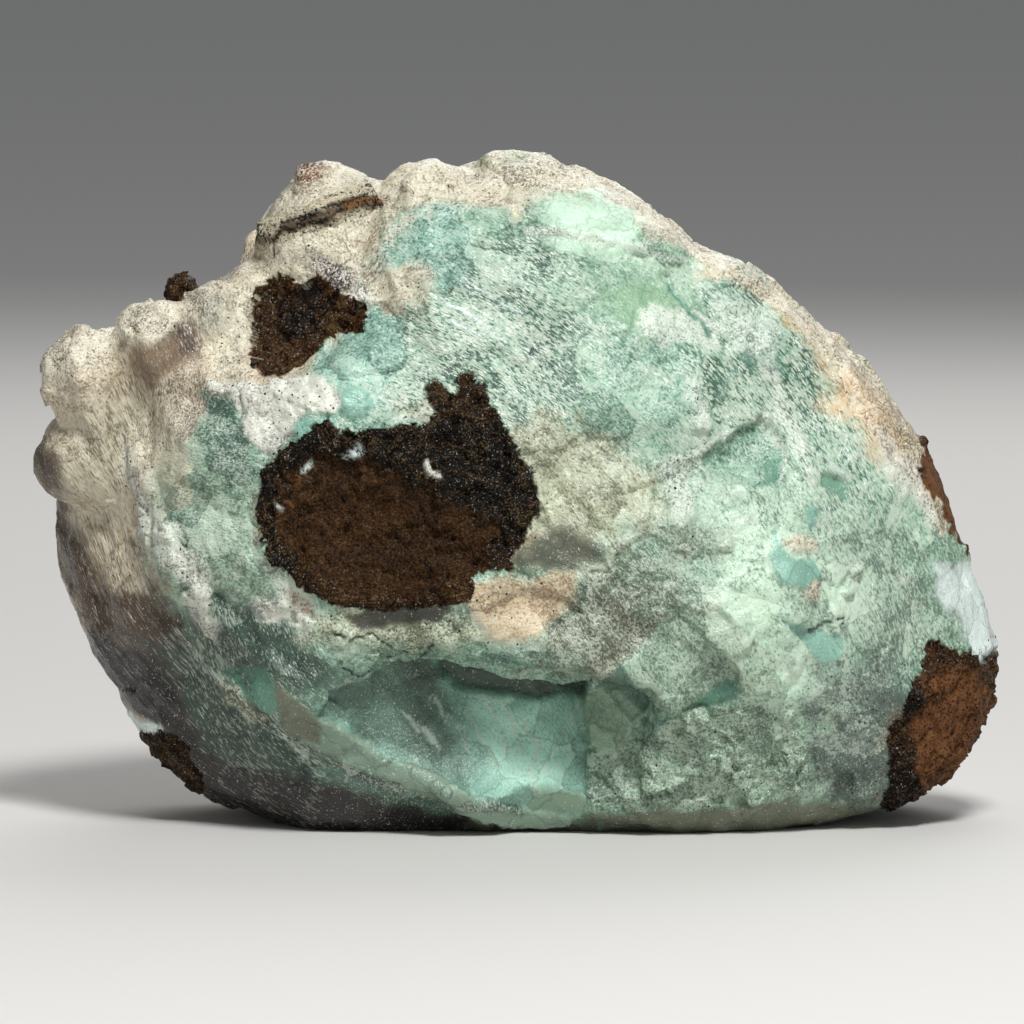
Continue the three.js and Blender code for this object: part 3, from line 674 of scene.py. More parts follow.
          (926, 806), (916, 760), (912, 716)), Tints.RED_BROWN, Textures.ROCK, height=-0.2, soft=4,
          ragged=8, minerals=ROCKS),
    Facet("cream over the seam", ((240, 180), (300, 190), (340, 178), (392, 172), (396, 190), (350, 200),
          (318, 213), (284, 224), (262, 246)), Tints.IVORY, Textures.CHALKY, soft=4, ragged=5,
          minerals=ROCKS),
    Facet("cream under the seam", ((246, 262), (264, 236), (282, 234), (318, 223), (350, 208), (396, 204),
          (400, 240), (250, 275)), Tints.IVORY, Textures.CHALKY, soft=4, ragged=5, minerals=ROCKS),
]

UPPER_POCKET = Facet(
    "walls of the upper rock",
    ((244, 288), (280, 266), (320, 264), (376, 294), (376, 346), (300, 392), (246, 384)),
    Tints.SOOT, soft=8)

CLAIMS = [
    Claim("cream round the upper rock", "stilbite_crust", ((236, 266), (372, 266), (376, 300), (366, 330),
          (350, 346), (300, 384), (236, 390))),
    Claim("green under the upper rock", "apophyllite_mass", ((352, 330), (374, 318), (392, 330),
          (380, 372), (310, 392), (308, 366))),
    Claim("upper rock", "basalt_upper_inclusion", ((251, 293), (262, 282), (282, 273), (304, 282),
          (316, 273), (336, 290), (360, 302), (368, 338), (349, 331), (330, 338), (310, 360), (281, 382),
          (254, 374), (250, 330))),
    Claim("notch left of the spur", "apophyllite_mass", ((392, 402), (440, 380), (456, 366), (453, 396),
          (444, 410), (424, 424), (340, 430), (326, 420))),
    Claim("left prong", "basalt_inclusion", ((426, 388), (436, 378), (444, 390), (460, 402), (460, 426),
          (436, 420), (430, 402))),
]

STROKES = [
    Stroke("left prong of the rock", ((433, 381), (440, 398), (452, 412)), 9, Tints.BLACK, Textures.BURNT,
           height=0.3),
    Stroke("crumbs by the rock", ((500, 470), (536, 500), (546, 524)), 6, Tints.BLACK, Textures.BURNT,
           strength=0.6),
    Stroke("white chip", ((427, 463), (430, 472), (438, 477)), 3, Tints.WHITE, Textures.SMOOTH,
           height=0.2, minerals=ROCKS),
    Stroke("blue-white chip", ((343, 460), (351, 454), (359, 452)), 4, Tints.BLUE_WHITE, Textures.GRITTY,
           height=0.2, minerals=ROCKS),
    Stroke("small chip", ((303, 472), (309, 466)), 3, Tints.BLUE_WHITE, Textures.GRITTY, minerals=ROCKS),
    Stroke("grain of salt", ((277, 504), (280, 506)), 2.5, Tints.WHITE, Textures.SMOOTH, minerals=ROCKS),
    Stroke("red spot", ((288, 478), (298, 484)), 4, Tints.RUST, Textures.ROCK, minerals=ROCKS,
           strength=0.6),
    Stroke("second red spot", ((286, 500), (292, 506)), 4, Tints.RUST, Textures.ROCK, minerals=ROCKS,
           strength=0.6),
    Stroke("rusty left rim", ((256, 545), (258, 505), (270, 466), (290, 446)), 5, Tints.RUST,
           Textures.CHALKY, strength=0.5),
    *(Stroke(f"crack {number} in the ring", path, 1.6, Tints.SOOT, Textures.SMOOTH, height=-0.3)
      for number, path in enumerate((
          ((330, 632), (352, 640), (372, 632), (392, 648)), ((388, 660), (402, 652), (422, 658), (432, 646)),
          ((344, 668), (360, 676), (372, 668))))),
    Stroke("crack down the left", ((132, 462), (142, 500), (160, 526), (186, 548)), 1.8, Tints.SOOT,
           Textures.SMOOTH, height=-0.3, strength=0.8),
    Stroke("second crack down the left", ((178, 520), (186, 540), (180, 556), (192, 572)), 1.6,
           Tints.SOOT, Textures.SMOOTH, height=-0.25, strength=0.8),
    *(Stroke(f"wisp {number} in the hollow", path, 2.2, Tints.CLOUD, Textures.WISPY, height=0.1, strength=0.7)
      for number, path in enumerate((
          ((486, 704), (500, 730), (508, 748)), ((470, 718), (486, 744), (498, 764)),
          ((452, 716), (468, 744)), ((504, 708), (518, 736), (524, 752)),
          ((566, 730), (552, 752), (544, 772)), ((578, 712), (562, 738)),
          ((540, 742), (532, 768), (534, 790)), ((436, 702), (452, 728), (470, 752)),
          ((524, 720), (534, 742)),
          ((420, 724), (440, 748)), ((404, 712), (420, 730)), ((556, 764), (574, 744))))),
    *(Stroke(f"glint {number}", path, 0.9, Tints.GLARE, Textures.CLEAR, height=0.05, strength=0.8)
      for number, path in enumerate((
          ((440, 300), (470, 316), (500, 333)), ((462, 280), (490, 296), (522, 313)),
          ((452, 322), (484, 340), (512, 356)), ((482, 330), (516, 350), (548, 366))))),
    Stroke("sparkling patch", ((486, 270), (502, 276), (514, 284)), 5, Tints.CLOUD, Textures.SUGARY,
           strength=0.5),
    Stroke("seam on the knob", ((286, 229), (304, 222), (330, 212), (350, 205), (386, 199)), 5.5,
           Tints.ROCK_GREY, Textures.CHALKY, height=-0.2, minerals=CRUST_AND_ROCK),
    Stroke("upper edge of the seam", ((280, 224), (300, 217), (322, 207), (346, 202), (366, 194)), 2.0,
           Tints.BLACK, Textures.ROCK, height=-0.25, minerals=CRUST_AND_ROCK),
    Stroke("lower edge of the seam", ((275, 257), (272, 239), (282, 231), (302, 229), (326, 220),
           (348, 208)), 1.8, Tints.BROWN, Textures.ROCK, height=-0.25, minerals=CRUST_AND_ROCK),
    Stroke("rusty end of the seam", ((352, 204), (370, 198), (384, 200)), 5, Tints.RUST, Textures.CHALKY,
           strength=0.85, minerals=CRUST_AND_ROCK),
    Stroke("edge of the mint panel", ((528, 228), (584, 235), (641, 247), (662, 258), (708, 268)), 3,
           Tints.CLOUD, Textures.SUGARY, height=0.12),
    Stroke("upright ridge", ((697, 378), (701, 408), (698, 443), (690, 462)), 9, Tints.CLOUD,
           Textures.DRUSY, height=0.06, strength=0.85),
    Stroke("facet edge", ((690, 462), (721, 437), (764, 413)), 3.5, Tints.CLOUD, Textures.SUGARY,
           height=0.06),
    Stroke("facet edge at the left", ((654, 478), (678, 465), (692, 459)), 8, Tints.CLOUD, Textures.DRUSY,
           height=0.05),
    Stroke("facet edge at the right", ((764, 413), (788, 456), (781, 482)), 3.5, Tints.CLOUD,
           Textures.SUGARY, height=0.05),
    Stroke("dark seam", ((672, 284), (686, 306), (710, 334)), 3, Tints.DEEP, Textures.SMOOTH,
           height=-0.35),
    Stroke("dark crack", ((590, 571), (612, 570), (626, 584)), 2.2, Tints.SOOT, Textures.SMOOTH,
           height=-0.3, strength=0.8),
    Stroke("crack by the blue facet", ((812, 629), (830, 622), (846, 619)), 2.2, Tints.SHADE,
           Textures.SMOOTH, height=-0.3),
    Stroke("white crystals down the left", ((128, 452), (146, 512), (172, 548), (200, 588), (214, 626)),
           13, Tints.WHITE, Textures.DRUSY, height=0.15, strength=0.8),
    Stroke("dash on the slope", ((176, 632), (214, 676), (262, 722), (318, 762)), 5, Tints.GREY,
           Textures.STREAKED, height=0.15, strength=0.7),
    Stroke("second dash", ((214, 640), (240, 668), (262, 704)), 4, Tints.GREY, Textures.STREAKED,
           height=0.1, strength=0.6),
    Stroke("foot line", ((300, 744), (380, 784), (470, 802), (520, 806)), 4, Tints.GREY,
           Textures.STREAKED, height=0.12, strength=0.7),
    Stroke("cream rim along the right", ((600, 178), (668, 222), (716, 268), (790, 306), (836, 356)), 16,
           Tints.CREAM, Textures.CHALKY),
]

LEDGES = [
    Ledge("roof of the hollow", ((420, 662), (440, 662), (499, 679), (588, 689)), 1.6, 60, 3.0),
    Ledge("mint panel", ((500, 222), (528, 228), (584, 235), (641, 247), (708, 268)), 0.8, 46),
    Ledge("turquoise panel", ((392, 214), (394, 262), (408, 292)), -0.6, 30),
    Ledge("middle facet", ((654, 478), (690, 462), (764, 413), (790, 456)), 0.7, 50),
    Ledge("hollow's end", ((588, 689), (581, 712), (588, 738), (586, 763), (590, 792)), 1.0, 30, 3.0),
    Ledge("left slope", ((150, 470), (180, 560), (250, 640), (330, 700)), -0.8, 60),
    Ledge("fan over the slope", ((130, 450), (150, 560), (210, 680), (300, 760)), 0.7, 40),
]


@dataclass
class Studio:
    """The camera at the picture's angle, a pale floor and soft lights."""

    lens_mm: float = 400.0
    sensor_mm: float = 36.0
    floor_reach_m: float = 60.0
    floor_tint: Rgb = (214, 212, 208)
    lights: tuple[tuple[str, tuple[float, float, float], float, float], ...] = (
        ("key", (0.12, -0.48, 0.7), 0.2, 6.3),
        ("fill", (0.6, -0.6, 0.3), 0.7, 0.5),
        ("rim", (0.1, 0.6, 0.5), 0.5, 2.0),
    )
    sky_strength: float = 0.22
    camera: bpy.types.Object = field(default=None, init=False)

    def build(self) -> None:
        """Makes the camera first, and then the floor, the lights and the sky."""
        self.add_camera()
        self.add_floor()
        self.add_lights()
        scene = bpy.context.scene
        scene.view_settings.view_transform = "Standard"
        log.info("studio: camera %.2f m away", self.distance())

    def distance(self) -> float:
        """How far the camera stands from the middle of the lump, in metres."""
        width = PICTURE_PIXELS / PIXELS_PER_MM * MM
        return width * self.lens_mm / self.sensor_mm

    def towards_camera(self) -> Vector:
        """The direction from the lump to the camera."""
        return Vector((0, -math.cos(VIEW_ELEVATION), math.sin(VIEW_ELEVATION)))

    def add_camera(self) -> None:
        """Adds the camera, aimed at what lies in the middle of the picture."""
        data = bpy.data.cameras.new("picture")
        data.lens = self.lens_mm
        data.sensor_width = self.sensor_mm
        data.clip_start = 0.05
        data.clip_end = 200
        self.camera = bpy.data.objects.new("picture", data)
        bpy.context.scene.collection.objects.link(self.camera)
        aim = Vector(PICTURE_CENTRE) * MM
        self.camera.location = aim + self.towards_camera() * self.distance()
        self.camera.rotation_euler = (-self.towards_camera()).to_track_quat("-Z", "Y").to_euler()
        bpy.context.scene.camera = self.camera

    def seen(self, points: Array) -> Array:
        """Where points show in the picture.

        Args:
            points: Points in millimetres.

        Returns:
            Their pixels, from the top left corner.
        """
        aim = np.array(PICTURE_CENTRE)
        ahead = -np.array(self.towards_camera())
        up = np.array([0, math.sin(VIEW_ELEVATION), math.cos(VIEW_ELEVATION)])
        away = points - aim
        depth = 1 + (away @ ahead) * MM / self.distance()
        right = away[:, 0] / depth
        above = (away @ up) / depth
        middle = PICTURE_PIXELS / 2
        return np.stack([middle + right * PIXELS_PER_MM, middle - above * PIXELS_PER_MM], axis=1)

    def add_floor(self) -> None:
        """Adds the plain pale floor."""
        bpy.ops.object.select_all(action="DESELECT")
        bpy.ops.mesh.primitive_plane_add(size=2 * self.floor_reach_m, location=(0, 0, 0))
        floor = bpy.context.object
        floor.name = "floor"
        material = bpy.data.materials.new("floor")
        material.use_nodes = True
        shader = material.node_tree.nodes["Principled BSDF"]
        shader.inputs["Base Color"].default_value = (*linear(self.floor_tint), 1)
        shader.inputs["Roughness"].default_value = 0.8
        floor.data.materials.append(material)

    def add_lights(self) -> None:
        """Adds the soft lights and an even sky."""
        aim = Vector(PICTURE_CENTRE) * MM
        for name, place, size, watts in self.lights:
            data = bpy.data.lights.new(name, "AREA")
            data.energy = watts
            data.size = size
            light = bpy.data.objects.new(name, data)
            light.location = place
            light.rotation_euler = (aim - Vector(place)).to_track_quat("-Z", "Y").to_euler()
            bpy.context.scene.collection.objects.link(light)
        world = bpy.data.worlds.new("sky")
        world.use_nodes = True
        sky = world.node_tree.nodes["Background"]
        sky.inputs["Color"].default_value = (0.93, 0.96, 1, 1)
        sky.inputs["Strength"].default_value = self.sky_strength
        bpy.context.scene.world = world


@dataclass
class Skin:
    """The one fine surface over all the solids, before it is carved and parted."""

    voxel: float = 0.72
    swell: float = 0.26
    smooth_rounds: int = 5
    facing_share: float = -0.15
    studio: Studio = field(default_factory=Studio)
    shape: bpy.types.Object = field(default=None, init=False)

    def build(self) -> bpy.types.Object:
        """Wraps the solids in one closed mesh of triangles, twice as fine where the picture sees it."""
        self.join_solids()
        self.add_modifier("DISPLACE", strength=self.swell * MM, mid_level=0.0)
        self.add_modifier("REMESH", mode="VOXEL", voxel_size=self.voxel * MM)
        self.keep_largest()
        self.add_modifier("SMOOTH", factor=0.5, iterations=self.smooth_rounds)
        self.refine_front()
        self.edit(lambda: bpy.ops.mesh.quads_convert_to_tris())
        log.info("skin: %d triangles", len(self.shape.data.polygons))
        return self.shape

    def join_solids(self) -> None:
        """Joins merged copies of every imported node."""
        copies = []
        for name, node in frame["nodes"].items():
            copy = bpy.data.objects.new("copy_" + name, node.data.copy())
            bpy.context.scene.collection.objects.link(copy)
            copies.append(copy)
        bpy.ops.object.select_all(action="DESELECT")
        for copy in copies:
            copy.select_set(True)
        bpy.context.view_layer.objects.active = copies[0]
        bpy.ops.object.join()
        self.shape = bpy.context.object
        self.shape.name = "skin"
        self.edit(lambda: bpy.ops.mesh.remove_doubles(threshold=MM / 1000))
        if self.shape.data.has_custom_normals:
            bpy.ops.mesh.customdata_custom_splitnormals_clear()

    def add_modifier(self, kind: str, **settings: object) -> None:
        """Adds a modifier with these settings and applies it."""
        modifier = self.shape.modifiers.new(kind.lower(), kind)
        for name, value in settings.items():
            setattr(modifier, name, value)
        bpy.context.view_layer.objects.active = self.shape
        bpy.ops.object.modifier_apply(modifier=modifier.name)

    def edit(self, work: Callable[[], object]) -> None:
        """Does some work in edit mode on all of the mesh."""
        bpy.context.view_layer.objects.active = self.shape
        bpy.ops.object.mode_set(mode="EDIT")
        bpy.ops.mesh.select_all(action="SELECT")
        work()
        bpy.ops.object.mode_set(mode="OBJECT")

    def keep_largest(self) -> None:
        """Drops the small closed shells that the remesh leaves inside the joints."""
        before = set(bpy.data.objects)
        self.edit(lambda: bpy.ops.mesh.separate(type="LOOSE"))
        shells = [self.shape] + [o for o in bpy.data.objects if o not in before]
        self.shape = max(shells, key=lambda o: len(o.data.vertices))
        for shell in shells:
            if shell != self.shape:
                bpy.data.objects.remove(shell)
        bpy.ops.object.select_all(action="DESELECT")
        self.shape.select_set(True)
        bpy.context.view_layer.objects.active = self.shape

    def refine_front(self) -> None:
        """Divides each face that the picture can see into four."""
        mesh = self.shape.data
        normals = np.zeros(len(mesh.polygons) * 3)
        mesh.polygons.foreach_get("normal", normals)
        facing = normals.reshape(-1, 3) @ np.array(self.studio.towards_camera())
        bpy.ops.object.mode_set(mode="EDIT")
        bpy.context.tool_settings.mesh_select_mode = (False, False, True)
        bpy.ops.mesh.select_all(action="DESELECT")
        bpy.ops.object.mode_set(mode="OBJECT")
        mesh.polygons.foreach_set("select", facing > self.facing_share)
        bpy.ops.object.mode_set(mode="EDIT")
        bpy.ops.mesh.subdivide(number_cuts=1)
        bpy.ops.object.mode_set(mode="OBJECT")


class Surface:
    """The skin's points, normals and triangles as arrays, in millimetres."""

    def __init__(self, shape: bpy.types.Object) -> None:
        """Reads them from the skin's mesh."""
        self.mesh = shape.data
        self.points = self.read("vertices", "co", np.float32) / MM
        self.faces = self.read("polygons", "vertices", np.int32)
        self.normals = self.read("vertices", "normal", np.float32)

    def read(self, part: str, name: str, kind: type) -> Array:
        """Reads one value of three numbers for every vertex or face.

        Args:
            part: What holds the values, vertices or polygons.
            name: The value's name.
            kind: How the mesh stores its numbers.

        Returns:
            One row for each vertex or face.
        """
        items = getattr(self.mesh, part)
        values = np.zeros(len(items) * 3, kind)
        items.foreach_get(name, values)
        return values.reshape(-1, 3).astype(np.int64 if kind is np.int32 else float)

    def spread(self, values: Array, rounds: int = 2) -> Array:
        """Evens out one value for each point with those of its neighbours."""
        edges = np.zeros(len(self.mesh.edges) * 2, np.int32)
        self.mesh.edges.foreach_get("vertices", edges)
        start, end = edges.reshape(-1, 2).T
        count = len(self.points)
        degree = np.bincount(start, minlength=count) + np.bincount(end, minlength=count)
        for _ in range(rounds):
            total = np.bincount(start, values[end], count) + np.bincount(end, values[start], count)
            values = (values + total / degree) / 2
        return values

    def calm(self, share: Array, rounds: int) -> None:
        """Evens out the shape itself, as far as a share from 0 to 1 for each point."""
        even = np.stack([self.spread(self.points[:, axis], rounds) for axis in range(3)], axis=1)
        self.points += (even - self.points) * share[:, None]
        self.raise_by(np.zeros(len(self.points)))

    def raise_by(self, height: Array) -> None:
        """Moves each point along its normal by a height in millimetres, and works out the new normals."""
        self.points += self.normals * height[:, None]
        self.mesh.vertices.foreach_set("co", (self.points * MM).astype(np.float32).ravel())
        self.mesh.update()
        self.normals = self.read("vertices", "normal", np.float32)


@dataclass
class Nature:
    """Which grain each point belongs to, and how far it lies from the rock."""

    wander: float = 0.8
    wander_size: float = 4.0
    fine_wander: float = 0.3
    fine_wander_size: float = 1.2
    names: list[str] = field(default_factory=list)

    def sort(self, surface: Surface) -> tuple[Array, Array]:
        """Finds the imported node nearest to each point, with edges that wander as grown ones do.

        Args:
            surface: The skin.

        Returns:
            The place of the nearest node in `names` for each point, and the distance to the nearest rock.
        """
        self.names = sorted(frame["nodes"])
        everything, owners = self.tree(self.names)
        rocks, _ = self.tree([n for n in self.names if Mineral.of_node(n) is Mineral.BASALT])
        moved = Grain.warp(surface.points, self.wander_size, self.wander, Seed.BORDERS)
        moved = Grain.warp(moved, self.fine_wander_size, self.fine_wander, Seed.FINE_BORDERS)
        near = np.zeros(len(moved), np.int64)
        rock_gap = np.zeros(len(moved))
        for i, point in enumerate((moved * MM).tolist()):
            near[i] = owners[everything.find_nearest(point)[2]]
            rock_gap[i] = rocks.find_nearest(point)[3] / MM
        return near, rock_gap

    def tree(self, names: list[str]) -> tuple[BVHTree, Array]:
        """A search tree over the solids of some nodes, with the node of each of its triangles."""
        corners, faces, owners = [], [], []
        for name in names:
            mesh = frame["nodes"][name].data
            start = len(corners)
            corners += [v.co[:] for v in mesh.vertices]
            faces += [tuple(start + v for v in p.vertices) for p in mesh.polygons]
            owners += [self.names.index(name)] * len(mesh.polygons)
        return BVHTree.FromPolygons(corners, faces), np.array(owners)


@dataclass(frozen=True)
class LowerLeft:
    """The lower left of the lump, where a mineral's grain turns: its limits across and up in millimetres."""

    across: tuple[float, float]
    up: tuple[float, float]

    def share(self, points: Array) -> Array:
        """How far each point lies in it, from 0 to 1."""
        return smoothstep(points[:, 0], *self.across) * smoothstep(points[:, 2], *self.up)

    def node_share(self, sheet: "NodeSheet", spot: Socket) -> Socket:
        """The same share, worked out in a material."""
        parts = sheet.add("SeparateXYZ")
        sheet.link(spot, parts.inputs[0])
        across, up = (
            sheet.ramp(parts.outputs[axis], start * MM, end * MM)
            for axis, (start, end) in (("X", self.across), ("Z", self.up))
        )
        return sheet.math("MULTIPLY", across, up)


BOWL = LowerLeft((-16, -26), (36, 26))
FOOT = LowerLeft((-26, -34), (44, 34))


@dataclass
class Painter:
    """Carves and paints the skin from the named features."""

    studio: Studio
    surface: Surface
    minerals: Array
    rock_gap: Array
    arc_centre: tuple[float, float] = (-45.7, -8.5)
    bowl_centre: tuple[float, float] = (-8.4, 34.4)
    foot_centre: tuple[float, float] = (-4.6, 54.4)
    waist: tuple[float, float, float] = (-27.0, -2.0, 3.0)
    tint: Array = field(default=None, init=False)
    marks: Array = field(default=None, init=False)
    height: Array = field(default=None, init=False)
    seen: Array = field(default=None, init=False)
    sharp_seen: Array = field(default=None, init=False)
    ragged: Array = field(default=None, init=False)
    front: Array = field(default=None, init=False)

    def paint(self) -> None:
        """Lays the ground colours, then the patches, the strokes and the contact with the rock."""
        count = len(self.surface.points)
        self.height = np.zeros(count)
        self.tint = np.zeros((count, 3))
        self.marks = np.zeros((count, len(fields(Marks))))
        self.seen = self.studio.seen(Grain.warp(self.surface.points, 6.0, 1.3, Seed.SEEN))
        self.ragged = raggedness(self.surface.points)
        self.sharp_seen = self.studio.seen(Grain.warp(self.surface.points, 1.6, 0.25, Seed.SHARP_SEEN))
        self.front = smoothstep(self.surface.normals @ np.array(self.studio.towards_camera()), -0.25, 0.1)
        self.lay_ground()
        for patch in PATCHES:
            self.apply(patch, patch.weight(self.seen, self.ragged))
        for facet in FACETS:
            self.apply(facet, facet.weight(self.sharp_seen, self.ragged))
        for stroke in STROKES:
            self.apply(stroke, stroke.weight(self.sharp_seen, self.ragged))
        self.stain_contacts()

    def is_mineral(self, *minerals: Mineral) -> Array:
        """Which points are made of one of these minerals."""
        return np.isin(self.minerals, [m.value for m in minerals])

    def lay_ground(self) -> None:
        """The colour that each mineral has where no feature covers it."""
        points = self.surface.points
        mix = smoothstep(Grain.layered(points, 16, Seed.GROUND), -0.5, 0.5)[:, None]
        dusk = smoothstep(Grain.layered(points, 24, Seed.DUSK), 0.1, 0.7)[:, None]
        cream = linear(Tints.CREAM) * mix + linear(Tints.TAN) * (1 - mix)
        cream += (linear(Tints.PINK_GREY) - cream) * 0.5 * dusk
        green = linear(Tints.GREEN) * mix + linear(Tints.MINT) * (1 - mix)
        rock = linear(Tints.BLACK) * mix + linear(Tints.BROWN) * (1 - mix)
        grounds = [
            (Mineral.APOPHYLLITE, green, Textures.GRAINY),
            (Mineral.STILBITE, cream, Textures.RIBBED),
            (Mineral.BASALT, rock, Textures.BURNT),
        ]
        for mineral, colour, texture in grounds:
            here = self.is_mineral(mineral)
            self.tint[here] = colour[here]
            self.marks[here] = texture.row()

    def apply(self, feature: Patch | Facet | Stroke, weight: Array) -> None:
        """Blends one feature into the colours, the marks and the height."""
        weight = weight * self.front
        share = (weight * self.is_mineral(*feature.minerals))[:, None]
        self.tint += (linear(feature.tint) - self.tint) * share
        self.marks += (feature.marks.row() - self.marks) * share
        rise = feature.relief(self.sharp_seen) if isinstance(feature, Facet) else feature.height
        self.height += rise * weight

    def stain_contacts(self) -> None:
        """Specks and rust where the crystals meet the rock."""
        points = self.surface.points
        crystals = ~self.is_mineral(Mineral.BASALT)
        gap = self.rock_gap + 0.6 * Grain.layered(points, 2.0, Seed.CONTACTS)
        near = smoothstep(gap, 2.4, 0.2) * crystals
        self.marks[:, GRIT] = np.maximum(self.marks[:, GRIT], 0.9 * near)
        rusty = near * smoothstep(Grain.layered(points, 6, Seed.RUST), 0.15, 0.6)
        self.tint += (linear(Tints.RUST) - self.tint) * 0.5 * rusty[:, None]

    def carve(self) -> None:
        """Raises the skin in two passes: the broken ledges first, and then the crystals on them."""
        points = self.surface.points
        breaks = Grain.facets(Grain.warp(points, 6.0, 0.8, Seed.BENT_BREAKS), 8.0, 0.24, Seed.BREAKS)
        coarse = self.height + 0.4 * breaks * (0.3 + self.marks[:, ROUGH])
        for ledge in LEDGES:
            coarse += ledge.height(self.sharp_seen) * self.front
        self.surface.raise_by(coarse)
        self.surface.raise_by(self.crystals() + self.growth() + self.rock_skin())

    def crystals(self) -> Array:
        """Small crystal faces, as rough as the paint says."""
        points = self.surface.points
        rough = self.surface.spread(self.marks[:, ROUGH])
        big = Grain.facets(points, 2.6, 0.3, Seed.BIG_FACES)
        small = Grain.facets(points, 1.25, 0.32, Seed.SMALL_FACES)
        return rough * (0.9 * big + 0.8 * small) + 0.12 * Grain.layered(points, 1.8, Seed.WAVES)

    def growth(self) -> Array:
        """Striations along the break of the apophyllite, and ribs along the stilbite's crystals."""
        points = self.surface.points
        left = BOWL.share(points)
        lines = self.arc_lines(self.arc_centre) * (1 - left) + self.arc_lines(self.bowl_centre) * left
        rays = points - np.array(self.waist)
        distance = np.linalg.norm(rays, axis=1)
        rays = rays / distance[:, None]
        ribs = 0.8 - 1.6 * np.abs(Grain.soft(rays, 0.075, Seed.RIBS))
        ribs += 0.9 * Grain.soft(rays, 0.026, Seed.FINE_RIBS)
        green = self.surface.spread(self.is_mineral(Mineral.APOPHYLLITE) * 1.0)
        cream = self.surface.spread(self.is_mineral(Mineral.STILBITE) * 1.0)
        streak = self.surface.spread(self.marks[:, STREAK])
        foot = FOOT.share(points)
        ribs = ribs * (1 - foot) + self.arc_lines(self.foot_centre) * foot
        return 0.18 * streak * lines * green + 0.42 * streak * ribs * cream

    def arc_lines(self, centre: Pixel) -> Array:
        """Fine ridges along arcs round a centre, which is given across and up in mm."""
        points = self.surface.points
        x = points[:, 0] - centre[0]
        z = points[:, 2] - centre[1]
        arcs = np.stack([np.hypot(x, z), np.arctan2(z, x) * 9, points[:, 1] * 0.25], axis=1)
        return Grain.layered(arcs, 1.3, Seed.ARCS, 2)

    def rock_skin(self) -> Array:
        """Pits and grit of the basalt."""
        points = self.surface.points
        rock = self.surface.spread(self.is_mineral(Mineral.BASALT) * 1.0, 3)
        pits = Grain.pits(points, 1.5, 0.4, Seed.PITS)
        # painted shade: the pits are darkened in the colour as well as sunk
        self.tint *= 1 - 0.75 * (rock * pits)[:, None]
        grit = Grain.layered(points, 1.1, Seed.GRIT)
        burnt = self.surface.spread(self.marks[:, ROUGH])
        return rock * ((0.1 + 0.3 * burnt) * grit - 0.5 * pits)

    def keep_in_box(self) -> None:
        """Holds every point inside the box of the solids and above the floor."""
        low, high = (np.array(corner) / MM for corner in CAD_BOX)
        self.surface.points = np.clip(self.surface.points, low, high)


